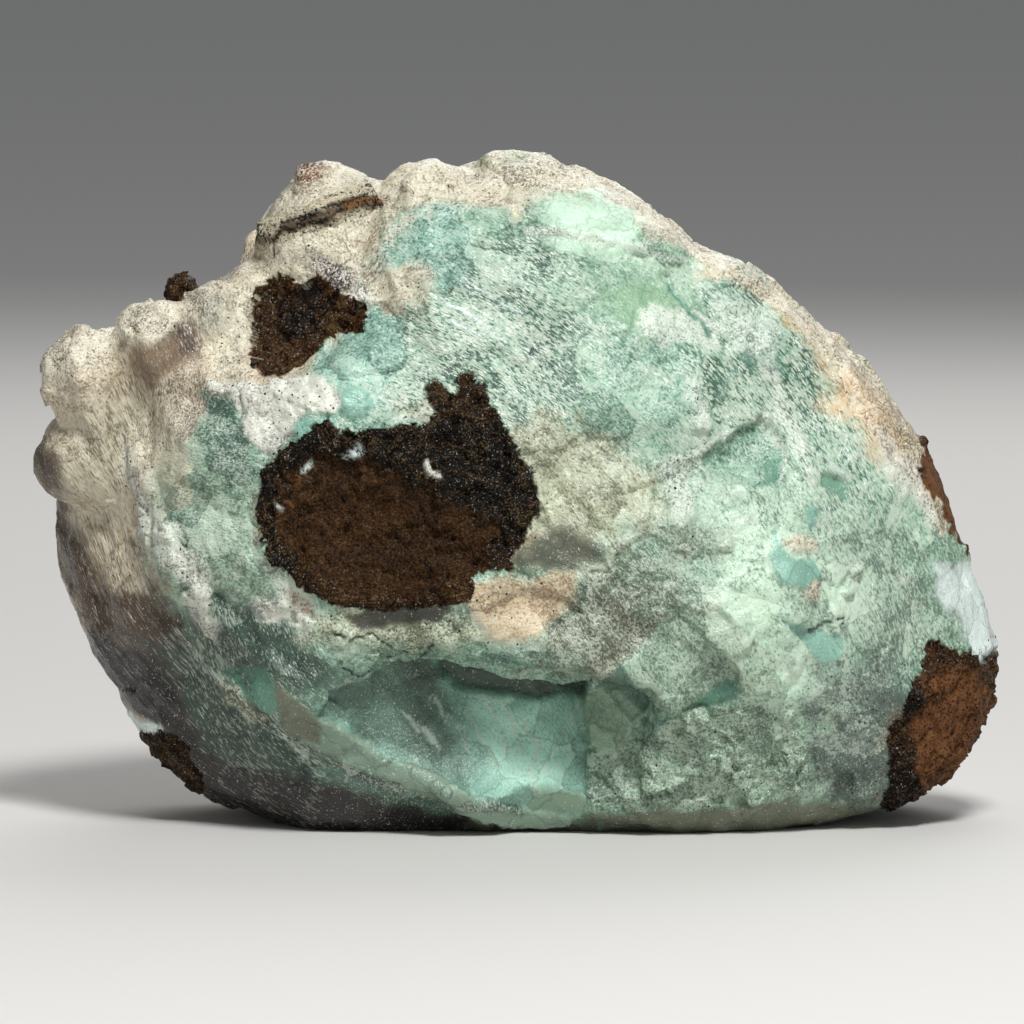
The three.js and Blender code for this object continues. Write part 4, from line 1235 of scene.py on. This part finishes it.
class Parting:
    """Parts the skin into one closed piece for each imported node."""

    MEND_ROUNDS = 12

    def __init__(self, surface: Surface, labels: Array, count: int) -> None:
        """Gives each triangle the label that most of its corners have."""
        self.surface = surface
        self.count = count
        corner = labels[surface.faces]
        self.label = np.where(corner[:, 1] == corner[:, 2], corner[:, 1], corner[:, 0])
        self.neighbours = self.find_neighbours()
        self.drop_islands()
        self.mend_pinches()

    def find_neighbours(self) -> Array:
        """The triangle across each of the three edges of every triangle."""
        faces = self.surface.faces
        number = len(self.surface.points)
        start = faces.ravel()
        end = np.roll(faces, -1, axis=1).ravel()
        key = np.minimum(start, end) * number + np.maximum(start, end)
        order = np.argsort(key, kind="stable")
        pairs = order.reshape(-1, 2)
        across = np.empty(len(key), np.int64)
        across[pairs[:, 0]] = pairs[:, 1] // 3
        across[pairs[:, 1]] = pairs[:, 0] // 3
        return across.reshape(-1, 3)

    def drop_islands(self) -> None:
        """Leaves each label in one connected region, and gives its islands to what surrounds them."""
        region = np.full(len(self.label), -1)
        label = self.label.tolist()
        around = self.neighbours.tolist()
        sizes, owners, outside = [], [], []
        for first in range(len(label)):
            if region[first] >= 0:
                continue
            number = len(sizes)
            region[first] = number
            queue = deque([first])
            size, other = 0, -1
            while queue:
                face = queue.popleft()
                size += 1
                for step in around[face]:
                    if label[step] != label[first]:
                        other = label[step]
                    elif region[step] < 0:
                        region[step] = number
                        queue.append(step)
            sizes.append(size)
            owners.append(label[first])
            outside.append(other)
        sizes, owners = np.array(sizes), np.array(owners)
        new = owners.copy()
        for value in range(self.count):
            mine = np.nonzero(owners == value)[0]
            for island in mine[np.argsort(sizes[mine])[:-1]]:
                new[island] = outside[island]
        self.label = new[region]

    def mend_pinches(self) -> None:
        """Fills the corners where a region only touches itself at one point."""
        faces = self.surface.faces
        for _ in range(self.MEND_ROUNDS):
            pinched = 0
            for value in range(self.count):
                edge = (self.label[:, None] == value) & (self.label[self.neighbours] != value)
                starts = np.bincount(faces[edge], minlength=len(self.surface.points))
                bad = starts > 1
                if bad.any():
                    pinched += int(bad.sum())
                    self.label[bad[faces].any(axis=1)] = value
            if not pinched:
                return
        log.warning("parting: %d pinched corners are left", pinched)

    def piece(self, value: int, apexes: Array, heart: Array) -> tuple[Array, int, Array]:
        """One region, closed by flat triangles that run in to a point inside the lump.

        Args:
            value: The label of the region.
            apexes: A point inside the lump for each label, or NaN where the region closes on the heart.
            heart: The point inside the lump on which the two large regions close.

        Returns:
            The triangles by the numbers of their corners, how many of them belong to the skin, and the
            inner points, whose numbers follow the skin's.
        """
        mine = np.nonzero(self.label == value)[0]
        faces = self.surface.faces
        inner = [heart] + [apexes[i] for i in range(self.count)]
        base = len(self.surface.points)
        following, entering = {}, {}
        walls = []
        for face in mine:
            for slot in range(3):
                other = self.label[self.neighbours[face, slot]]
                if other == value:
                    continue
                start, end = faces[face, slot], faces[face, (slot + 1) % 3]
                owner = value if not np.isnan(apexes[value, 0]) else other
                tip = base if np.isnan(apexes[owner, 0]) else base + 1 + owner
                walls.append((end, start, tip))
                entering[end] = tip
                following[start] = tip
        for corner, tip in entering.items():
            if following.get(corner, tip) != tip:
                walls.append((corner, tip, following[corner]))
        triangles = np.concatenate([faces[mine], np.array(walls, np.int64).reshape(-1, 3)])
        return triangles, len(mine), np.array(inner)


class Scales:
    """How many lumps each noise of the materials has to the metre."""

    CLOUD = 150
    PATCH = 330
    GRAIN = 2900
    COARSE = 1150
    FACE = 170
    FACE_BEND = 420
    GLINT = 3600
    SPECK = 1400
    SPECK_EDGE = 3000


@dataclass(frozen=True)
class Recipe:
    """How the grain, the gaps, the shade and the gloss are mixed, the same in every finish.

    Pairs of numbers are the values between which something grows from nothing to all.
    """

    drawn_scale: float = 1.35
    coarse_scale: float = 0.33
    dash_scale: float = 1.1
    lift: float = 0.3
    grain_level: float = 0.64
    level_by_fleck: float = 0.26
    white: tuple[float, float] = (-0.01, 0.1)
    white_cover: float = 0.62
    dark: tuple[float, float] = (0.5, 0.35)
    dark_by_fleck: float = 1.4
    glint: tuple[float, float] = (0.67, 0.75)
    glint_colour: tuple[float, float, float, float] = (0.9, 0.92, 0.9, 1)
    shade: float = 1.04
    cloud: float = 0.8
    seam: float = 0.25
    dash: float = 0.18
    dash_by_fleck: float = 0.36
    dash_by_lift: float = 1.1
    bare_fleck: float = 0.8
    gloss: float = 0.26
    white_gloss: float = 0.08
    refraction: float = 1.54


RECIPE = Recipe()


@dataclass(frozen=True)
class Finish:
    """How one mineral takes the light. Colours are screen colours from 0 to 255."""

    name: str
    fleck_tint: Rgb
    speck_tint: Rgb
    fleck_cover: float = 0.9
    roughness: float = 0.42
    bump: float = 0.8
    ribs: bool = False
    contrast: float = 0.62
    specular: float = 0.5
    face_change: float = 0.12
    sparkle: float = 0.7
    dark_floor: float = 0.0

    def material(self) -> bpy.types.Material:
        """Builds the node material."""
        sheet = NodeSheet(self.name)
        spot = sheet.position()
        tint, marks = sheet.attribute("tint"), sheet.attribute("marks")
        fleck, streak, grit = sheet.split(marks.outputs["Color"])
        shine = marks.outputs["Alpha"]
        flows = sheet.flows(spot, self.ribs)
        even = sheet.noise(spot, Scales.GRAIN, 2, 0.6)
        grain = sheet.blend(streak, even, sheet.flowing(flows, RECIPE.drawn_scale))
        face, seam = sheet.cells(spot, Scales.FACE)
        lift = self.lift(sheet, spot, streak, flows, face)
        shade = self.shade(sheet, spot, fleck, sheet.math("ADD", grain, lift), face, seam)
        ground = sheet.scaled(tint.outputs["Color"], shade)
        white = self.white(sheet, spot, fleck, streak, grain, lift, flows)
        cover = sheet.math("MULTIPLY", white, sheet.math("ADD", fleck, self.fleck_cover - RECIPE.bare_fleck))
        colour = sheet.mixed(cover, ground, (*linear(self.fleck_tint), 1))
        # painted highlights: white glints mixed into the base colour, more where the shine mark is high
        glint = sheet.ramp(sheet.noise(spot, Scales.GLINT, 1), *RECIPE.glint)
        glint = sheet.math("MULTIPLY", glint, sheet.math("MULTIPLY", shine, self.sparkle))
        colour = sheet.mixed(glint, colour, RECIPE.glint_colour)
        colour = sheet.mixed(sheet.specks(spot, grit), colour, (*linear(self.speck_tint), 1))
        rough = sheet.math("SUBTRACT", self.roughness, sheet.math("MULTIPLY", shine, RECIPE.gloss))
        rough = sheet.math("SUBTRACT", rough, sheet.math("MULTIPLY", white, RECIPE.white_gloss))
        sheet.link(colour, sheet.shader.inputs["Base Color"])
        sheet.link(rough, sheet.shader.inputs["Roughness"])
        sheet.shader.inputs["IOR"].default_value = RECIPE.refraction
        sheet.shader.inputs["Specular IOR Level"].default_value = self.specular
        sheet.bump(grain, self.bump)
        return sheet.material

    def lift(self, sheet: "NodeSheet", spot: Socket, streak: Socket, flows: list[Socket],
             face: Socket) -> Socket:
        """Coarse changes that make the white grain lie thicker in some places than in others."""
        patchy = sheet.noise(spot, Scales.PATCH, 2, 0.6)
        even = sheet.noise(spot, Scales.COARSE, 1, 0.6)
        coarse = sheet.blend(streak, even, sheet.flowing(flows, RECIPE.coarse_scale))
        lift = sheet.math("ADD", sheet.centred(patchy, RECIPE.lift), sheet.centred(coarse, RECIPE.lift))
        return sheet.math("ADD", lift, sheet.centred(face, self.face_change))

    def shade(self, sheet: "NodeSheet", spot: Socket, fleck: Socket, lifted: Socket, face: Socket,
              seam: Socket) -> Socket:
        """How light the ground is: clouds, broken faces with thin seams, and dark gaps between the grains."""
        dark = sheet.ramp(lifted, *RECIPE.dark)
        gaps = sheet.math("ADD", self.dark_floor, sheet.math("MULTIPLY", fleck, RECIPE.dark_by_fleck))
        dark = sheet.math("MULTIPLY", dark, sheet.math("MINIMUM", gaps, 1))
        cloud = sheet.noise(spot, Scales.CLOUD, 3, 0.6)
        shade = sheet.math("ADD", RECIPE.shade, sheet.centred(cloud, RECIPE.cloud))
        shade = sheet.math("ADD", shade, sheet.centred(face, 2 * self.face_change))
        shade = sheet.math("SUBTRACT", shade, sheet.math("MULTIPLY", seam, RECIPE.seam))
        gap_shade = sheet.math("SUBTRACT", 1, sheet.math("MULTIPLY", dark, self.contrast))
        return sheet.math("MULTIPLY", shade, gap_shade)

    @staticmethod
    def white(sheet: "NodeSheet", spot: Socket, fleck: Socket, streak: Socket, grain: Socket, lift: Socket,
              flows: list[Socket]) -> Socket:
        """Where the white grain lies: soft noise, and separate little dashes drawn out along the flows."""
        drop = sheet.math("MULTIPLY", fleck, RECIPE.level_by_fleck)
        level = sheet.math("SUBTRACT", RECIPE.grain_level, drop)
        value = sheet.math("SUBTRACT", sheet.math("ADD", grain, lift), level)
        white = sheet.math("MULTIPLY", sheet.ramp(value, *RECIPE.white), RECIPE.white_cover)
        amount = sheet.math("ADD", sheet.math("MULTIPLY", fleck, RECIPE.dash_by_fleck), RECIPE.dash)
        amount = sheet.math("ADD", amount, sheet.math("MULTIPLY", lift, RECIPE.dash_by_lift))
        drawn = sheet.math("MULTIPLY", amount, streak)
        along = sheet.blend(flows[2], *(sheet.dashes(flow, RECIPE.dash_scale, drawn) for flow in flows[:2]))
        round_grains = sheet.math("MULTIPLY", amount, sheet.math("SUBTRACT", 1, streak))
        around = sheet.dashes(spot, Scales.GRAIN, round_grains)
        return sheet.math("MAXIMUM", white, sheet.math("MAXIMUM", along, around))


class NodeSheet:
    """A material's node tree, with short names for the nodes that the finishes use."""

    ARC_TURNS = 85
    BOWL_TURNS = 24
    FOOT_TURNS = 14
    ACROSS_THE_FLOW = 3300
    INTO_THE_LUMP = 900
    RAY_START = 150
    RAY_GROWTH = 420
    DASH_SIZES = (0.55, 0.75)
    DASH_EDGE = (-0.03, 0.1)
    SPECK_EDGE = (0.27, 0.19)
    SEAM_EDGE = (0.035, 0.0)
    FACE_BEND_REACH = 2.2 * MM
    BUMP_DEPTH = 0.3 * MM

    def __init__(self, name: str) -> None:
        """Starts a material with a Principled shader."""
        self.material = bpy.data.materials.new(name)
        self.material.use_nodes = True
        self.tree = self.material.node_tree
        self.shader = self.tree.nodes["Principled BSDF"]

    def add(self, kind: str) -> bpy.types.Node:
        """Adds one node."""
        return self.tree.nodes.new("ShaderNode" + kind)

    def link(self, value: object, socket: Socket) -> None:
        """Sets a socket to a number or colour, or links an output to it."""
        if isinstance(value, Socket):
            self.tree.links.new(value, socket)
        else:
            socket.default_value = value

    def position(self) -> Socket:
        """The place on the piece, in metres."""
        return self.add("TexCoord").outputs["Object"]

    def attribute(self, name: str) -> bpy.types.Node:
        """A painted attribute of the mesh."""
        node = self.add("Attribute")
        node.attribute_name = name
        return node

    def split(self, colour: Socket) -> list[Socket]:
        """The three channels of a colour."""
        node = self.add("SeparateColor")
        self.link(colour, node.inputs["Color"])
        return list(node.outputs)

    def math(self, operation: str, first: object, second: object = 0.0) -> Socket:
        """Works out one value from two."""
        node = self.add("Math")
        node.operation = operation
        self.link(first, node.inputs[0])
        self.link(second, node.inputs[1])
        return node.outputs[0]

    def centred(self, value: object, reach: float) -> Socket:
        """A value moved from the range 0 to 1 to lie round 0, and stretched."""
        return self.math("MULTIPLY", self.math("SUBTRACT", value, 0.5), reach)

    def noise(self, where: object, scale: float, detail: float, roughness: float = 0.5) -> Socket:
        """Noise at so many lumps to the metre."""
        node = self.add("TexNoise")
        self.link(where, node.inputs["Vector"])
        node.inputs["Scale"].default_value = scale
        node.inputs["Detail"].default_value = detail
        node.inputs["Roughness"].default_value = roughness
        return node.outputs["Fac"]

    def ramp(self, value: object, low: float, high: float) -> Socket:
        """Runs smoothly from 0 to 1 between two values."""
        node = self.add("MapRange")
        node.interpolation_type = "SMOOTHSTEP"
        self.link(value, node.inputs["Value"])
        node.inputs["From Min"].default_value = low
        node.inputs["From Max"].default_value = high
        return node.outputs["Result"]

    def cells(self, spot: object, scale: float) -> tuple[Socket, Socket]:
        """Broken faces side by side: a value for each face, and the thin seams between them."""
        wander = self.add("TexNoise")
        self.link(spot, wander.inputs["Vector"])
        wander.inputs["Scale"].default_value = Scales.FACE_BEND
        moved = self.vector("ADD", spot, self.scaled(wander.outputs["Color"], self.FACE_BEND_REACH))
        outputs = []
        for feature, output in (("F1", "Color"), ("DISTANCE_TO_EDGE", "Distance")):
            node = self.add("TexVoronoi")
            node.feature = feature
            self.link(moved, node.inputs["Vector"])
            node.inputs["Scale"].default_value = scale
            outputs.append(node.outputs[output])
        return self.split(outputs[0])[0], self.ramp(outputs[1], *self.SEAM_EDGE)

    def blend(self, share: object, first: object, second: object) -> Socket:
        """A value between two others."""
        node = self.add("Mix")
        self.link(share, node.inputs["Factor"])
        self.link(first, node.inputs[2])
        self.link(second, node.inputs[3])
        return node.outputs[0]

    def mixed(self, share: object, first: object, second: object) -> Socket:
        """A colour between two others."""
        node = self.add("Mix")
        node.data_type = "RGBA"
        self.link(share, node.inputs[0])
        self.link(first, node.inputs[6])
        self.link(second, node.inputs[7])
        return node.outputs[2]

    def scaled(self, colour: object, share: object) -> Socket:
        """A colour made lighter or darker."""
        node = self.add("VectorMath")
        node.operation = "SCALE"
        self.link(colour, node.inputs[0])
        self.link(share, node.inputs["Scale"])
        return node.outputs[0]

    def vector(self, operation: str, first: object, second: object) -> Socket:
        """Works out a vector from two, or a length."""
        node = self.add("VectorMath")
        node.operation = operation
        self.link(first, node.inputs[0])
        self.link(second, node.inputs[1])
        return node.outputs["Value" if operation == "LENGTH" else "Vector"]

    def combined(self, x: object, y: object, z: object) -> Socket:
        """A vector from three values."""
        node = self.add("CombineXYZ")
        for socket, value in zip(node.inputs, (x, y, z)):
            self.link(value, socket)
        return node.outputs[0]

    def arc_vector(self, spot: object, middle: Pixel, turns: float) -> Socket:
        """Coordinates for grain drawn out along arcs round a middle, which is given across and up in mm."""
        centre = (middle[0] * MM, 0, middle[1] * MM)
        flat = self.vector("MULTIPLY", self.vector("SUBTRACT", spot, centre), (1, 0, 1))
        radius = self.vector("LENGTH", flat, (0, 0, 0))
        flat_parts, parts = self.add("SeparateXYZ"), self.add("SeparateXYZ")
        self.link(flat, flat_parts.inputs[0])
        self.link(spot, parts.inputs[0])
        turn = self.math("ARCTAN2", flat_parts.outputs["Z"], flat_parts.outputs["X"])
        return self.combined(
            self.math("MULTIPLY", radius, self.ACROSS_THE_FLOW),
            self.math("MULTIPLY", turn, turns),
            self.math("MULTIPLY", parts.outputs["Y"], self.INTO_THE_LUMP),
        )

    def ray_vector(self, spot: object) -> Socket:
        """Coordinates for grain drawn out along the rays of the stilbite's crystals."""
        waist = tuple(c * MM for c in Painter.waist)
        ray = self.vector("SUBTRACT", spot, waist)
        length = self.vector("LENGTH", ray, (0, 0, 0))
        node = self.add("VectorMath")
        node.operation = "NORMALIZE"
        self.link(ray, node.inputs[0])
        reach = self.math("ADD", self.RAY_START, self.math("MULTIPLY", length, self.RAY_GROWTH))
        return self.scaled(node.outputs[0], reach)

    def dashes(self, where: object, scale: float, amount: object) -> Socket:
        """Separate little grains of all sizes up to an amount."""
        node = self.add("TexVoronoi")
        self.link(where, node.inputs["Vector"])
        node.inputs["Scale"].default_value = scale
        smallest, spread = self.DASH_SIZES
        chance = self.split(node.outputs["Color"])[0]
        share = self.math("ADD", smallest, self.math("MULTIPLY", chance, spread))
        depth = self.math("SUBTRACT", self.math("MULTIPLY", amount, share), node.outputs["Distance"])
        return self.ramp(depth, *self.DASH_EDGE)

    def flows(self, spot: object, ribs: bool) -> list[Socket]:
        """How the grain runs.

        Args:
            spot: The place on the piece.
            ribs: True for the stilbite's rays, and False for the arcs of the apophyllite.

        Returns:
            The main flow, the flow in the lower left, and the share of the second.
        """
        if ribs:
            first = self.ray_vector(spot)
            second = self.arc_vector(spot, Painter.foot_centre, self.FOOT_TURNS)
            return [first, second, FOOT.node_share(self, spot)]
        first = self.arc_vector(spot, Painter.arc_centre, self.ARC_TURNS)
        second = self.arc_vector(spot, Painter.bowl_centre, self.BOWL_TURNS)
        return [first, second, BOWL.node_share(self, spot)]

    def flowing(self, flows: list[Socket], scale: float) -> Socket:
        """Noise drawn out along the way that the grain runs."""
        first, second = (self.noise(flow, scale, 2, 0.6) for flow in flows[:2])
        return self.blend(flows[2], first, second)

    def specks(self, spot: object, cover: object) -> Socket:
        """Small dark specks, more of them where cover is high."""
        node = self.add("TexVoronoi")
        self.link(spot, node.inputs["Vector"])
        node.inputs["Scale"].default_value = Scales.SPECK
        chance, size, _ = self.split(node.outputs["Color"])
        ragged = self.centred(self.noise(spot, Scales.SPECK_EDGE, 2), 0.4)
        edge = self.math("ADD", node.outputs["Distance"], self.math("MULTIPLY", size, 0.14))
        dot = self.ramp(self.math("ADD", edge, ragged), *self.SPECK_EDGE)
        here = self.math("LESS_THAN", chance, self.math("MULTIPLY", cover, 0.8))
        return self.math("MULTIPLY", dot, here)

    def bump(self, height: object, strength: float) -> None:
        """Small relief that catches the light."""
        node = self.add("Bump")
        self.link(height, node.inputs["Height"])
        node.inputs["Strength"].default_value = strength
        node.inputs["Distance"].default_value = self.BUMP_DEPTH
        self.link(node.outputs[0], self.shader.inputs["Normal"])


FINISHES = {
    Mineral.APOPHYLLITE: Finish("green_apophyllite", fleck_tint=(222, 230, 212), speck_tint=(52, 46, 36)),
    Mineral.STILBITE: Finish("cream_stilbite", fleck_tint=(246, 241, 226), speck_tint=(40, 32, 26), bump=0.9,
                             ribs=True, contrast=0.8, face_change=0.07),
    Mineral.BASALT: Finish("dark_basalt", fleck_tint=(132, 104, 66), speck_tint=(6, 5, 4), fleck_cover=0.95,
                           roughness=0.6, bump=1.0, contrast=0.95, specular=0.1, face_change=0.04,
                           sparkle=0.45, dark_floor=0.5),
}


@dataclass
class Specimen:
    """The finished pieces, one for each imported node."""

    studio: Studio
    heart: tuple[float, float, float] = (0.0, 8.0, 38.0)
    seat_depth: float = 7.0
    calm_rounds: int = 120
    hidden_tint: float = 0.2
    deep_seats: dict[str, float] = field(default_factory=lambda: {"basalt_upper_inclusion": 12.0})

    def build(self) -> None:
        """Makes the skin, paints and carves it, and parts it into its pieces."""
        shape = Skin(studio=self.studio).build()
        surface = Surface(shape)
        self.calm_pocket(surface)
        nature = Nature()
        labels, rock_gap = nature.sort(surface)
        self.settle_claims(surface, labels, nature.names)
        parting = Parting(surface, labels, len(nature.names))
        vertex_label = labels.copy()
        vertex_label[surface.faces.ravel()] = np.repeat(parting.label, 3)
        mineral_names = np.array([Mineral.of_node(n).value for n in nature.names])
        painter = Painter(self.studio, surface, mineral_names[vertex_label], rock_gap)
        painter.paint()
        painter.carve()
        painter.keep_in_box()
        materials = {mineral: finish.material() for mineral, finish in FINISHES.items()}
        apexes = self.inner_points(nature.names)
        for value, name in enumerate(nature.names):
            triangles, skin_count, inner = parting.piece(value, apexes, np.array(self.heart))
            self.add_piece(name, triangles, skin_count, inner, painter, materials[Mineral.of_node(name)])
        bpy.data.objects.remove(shape)

    def calm_pocket(self, surface: Surface) -> None:
        """Evens out the walls round the upper rock, so that its border shows no steps."""
        seen = self.studio.seen(surface.points)
        walls = UPPER_POCKET.weight(seen, np.zeros(len(seen))) * (surface.points[:, 1] < 0)
        surface.calm(walls, self.calm_rounds)

    def settle_claims(self, surface: Surface, labels: Array, names: list[str]) -> None:
        """Gives the points that a claim covers to its grain."""
        seen = self.studio.seen(surface.points)
        ragged = raggedness(surface.points)
        front = surface.points[:, 1] < 0
        for claim in CLAIMS:
            labels[claim.covers(seen, ragged) & front] = names.index(claim.node)

    def inner_points(self, names: list[str]) -> Array:
        """A point inside the lump for each rock, on the way to the heart, and NaN for the crystals."""
        points = np.full((len(names), 3), np.nan)
        for i, name in enumerate(names):
            if Mineral.of_node(name) is not Mineral.BASALT:
                continue
            low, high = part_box(name)
            middle = np.array((low + high) / 2) / MM
            inwards = np.array(self.heart) - middle
            size = min(high - low) / MM
            depth = self.deep_seats.get(name, min(self.seat_depth, size / 2))
            points[i] = middle + inwards / np.linalg.norm(inwards) * depth
        return points

    def add_piece(self, node: str, triangles: Array, skin_count: int, inner: Array, painter: Painter,
                  material: bpy.types.Material) -> None:
        """Makes one closed mesh with its painted attributes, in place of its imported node.

        Args:
            node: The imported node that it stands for.
            triangles: Corners by their number on the skin, with the inner points after the skin's.
            skin_count: How many of the triangles belong to the skin. The others close the piece.
            inner: The inner points.
            painter: What holds the paint.
            material: The piece's material.
        """
        points = np.concatenate([painter.surface.points, np.nan_to_num(inner)]) * MM
        used, corner = np.unique(triangles, return_inverse=True)
        corner = corner.reshape(-1, 3)
        mesh = bpy.data.meshes.new("fine_" + node)
        mesh.from_pydata(points[used].tolist(), [], corner.tolist())
        piece = bpy.data.objects.new("fine_" + node, mesh)
        bpy.context.scene.collection.objects.link(piece)
        mesh.shade_smooth()
        self.sharpen_rim(mesh, corner, skin_count)
        padding = np.full((len(inner), 3), self.hidden_tint)
        tint = np.concatenate([painter.tint, padding])[used]
        marks = np.concatenate([painter.marks, np.zeros((len(inner), len(fields(Marks))))])[used]
        self.store(mesh, "tint", np.concatenate([tint, np.ones((len(used), 1))], axis=1))
        self.store(mesh, "marks", marks[:, :4])
        mesh.materials.append(material)
        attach(piece, "root")
        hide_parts(node)
        Mineral.of_node(node).value
        log.info("%s: %d triangles", piece.name, len(corner))

    @staticmethod
    def sharpen_rim(mesh: bpy.types.Mesh, corner: Array, skin_count: int) -> None:
        """Keeps the shading of the skin apart from the hidden faces that close the piece."""
        hidden = np.zeros(len(mesh.vertices), bool)
        hidden[corner[skin_count:].ravel()] = True
        edges = np.zeros(len(mesh.edges) * 2, np.int32)
        mesh.edges.foreach_get("vertices", edges)
        sharp = hidden[edges.reshape(-1, 2)].all(axis=1)
        mesh.edges.foreach_set("use_edge_sharp", sharp)

    @staticmethod
    def store(mesh: bpy.types.Mesh, name: str, values: Array) -> None:
        """Writes a painted attribute."""
        layer = mesh.attributes.new(name, "FLOAT_COLOR", "POINT")
        layer.data.foreach_set("color", values.astype(np.float32).ravel())


def main() -> None:
    """Builds the studio and the specimen."""
    logging.basicConfig(level=logging.INFO, format="%(name)s: %(message)s")
    studio = Studio()
    studio.build()
    Specimen(studio).build()


if __name__ == "__main__":
    main()
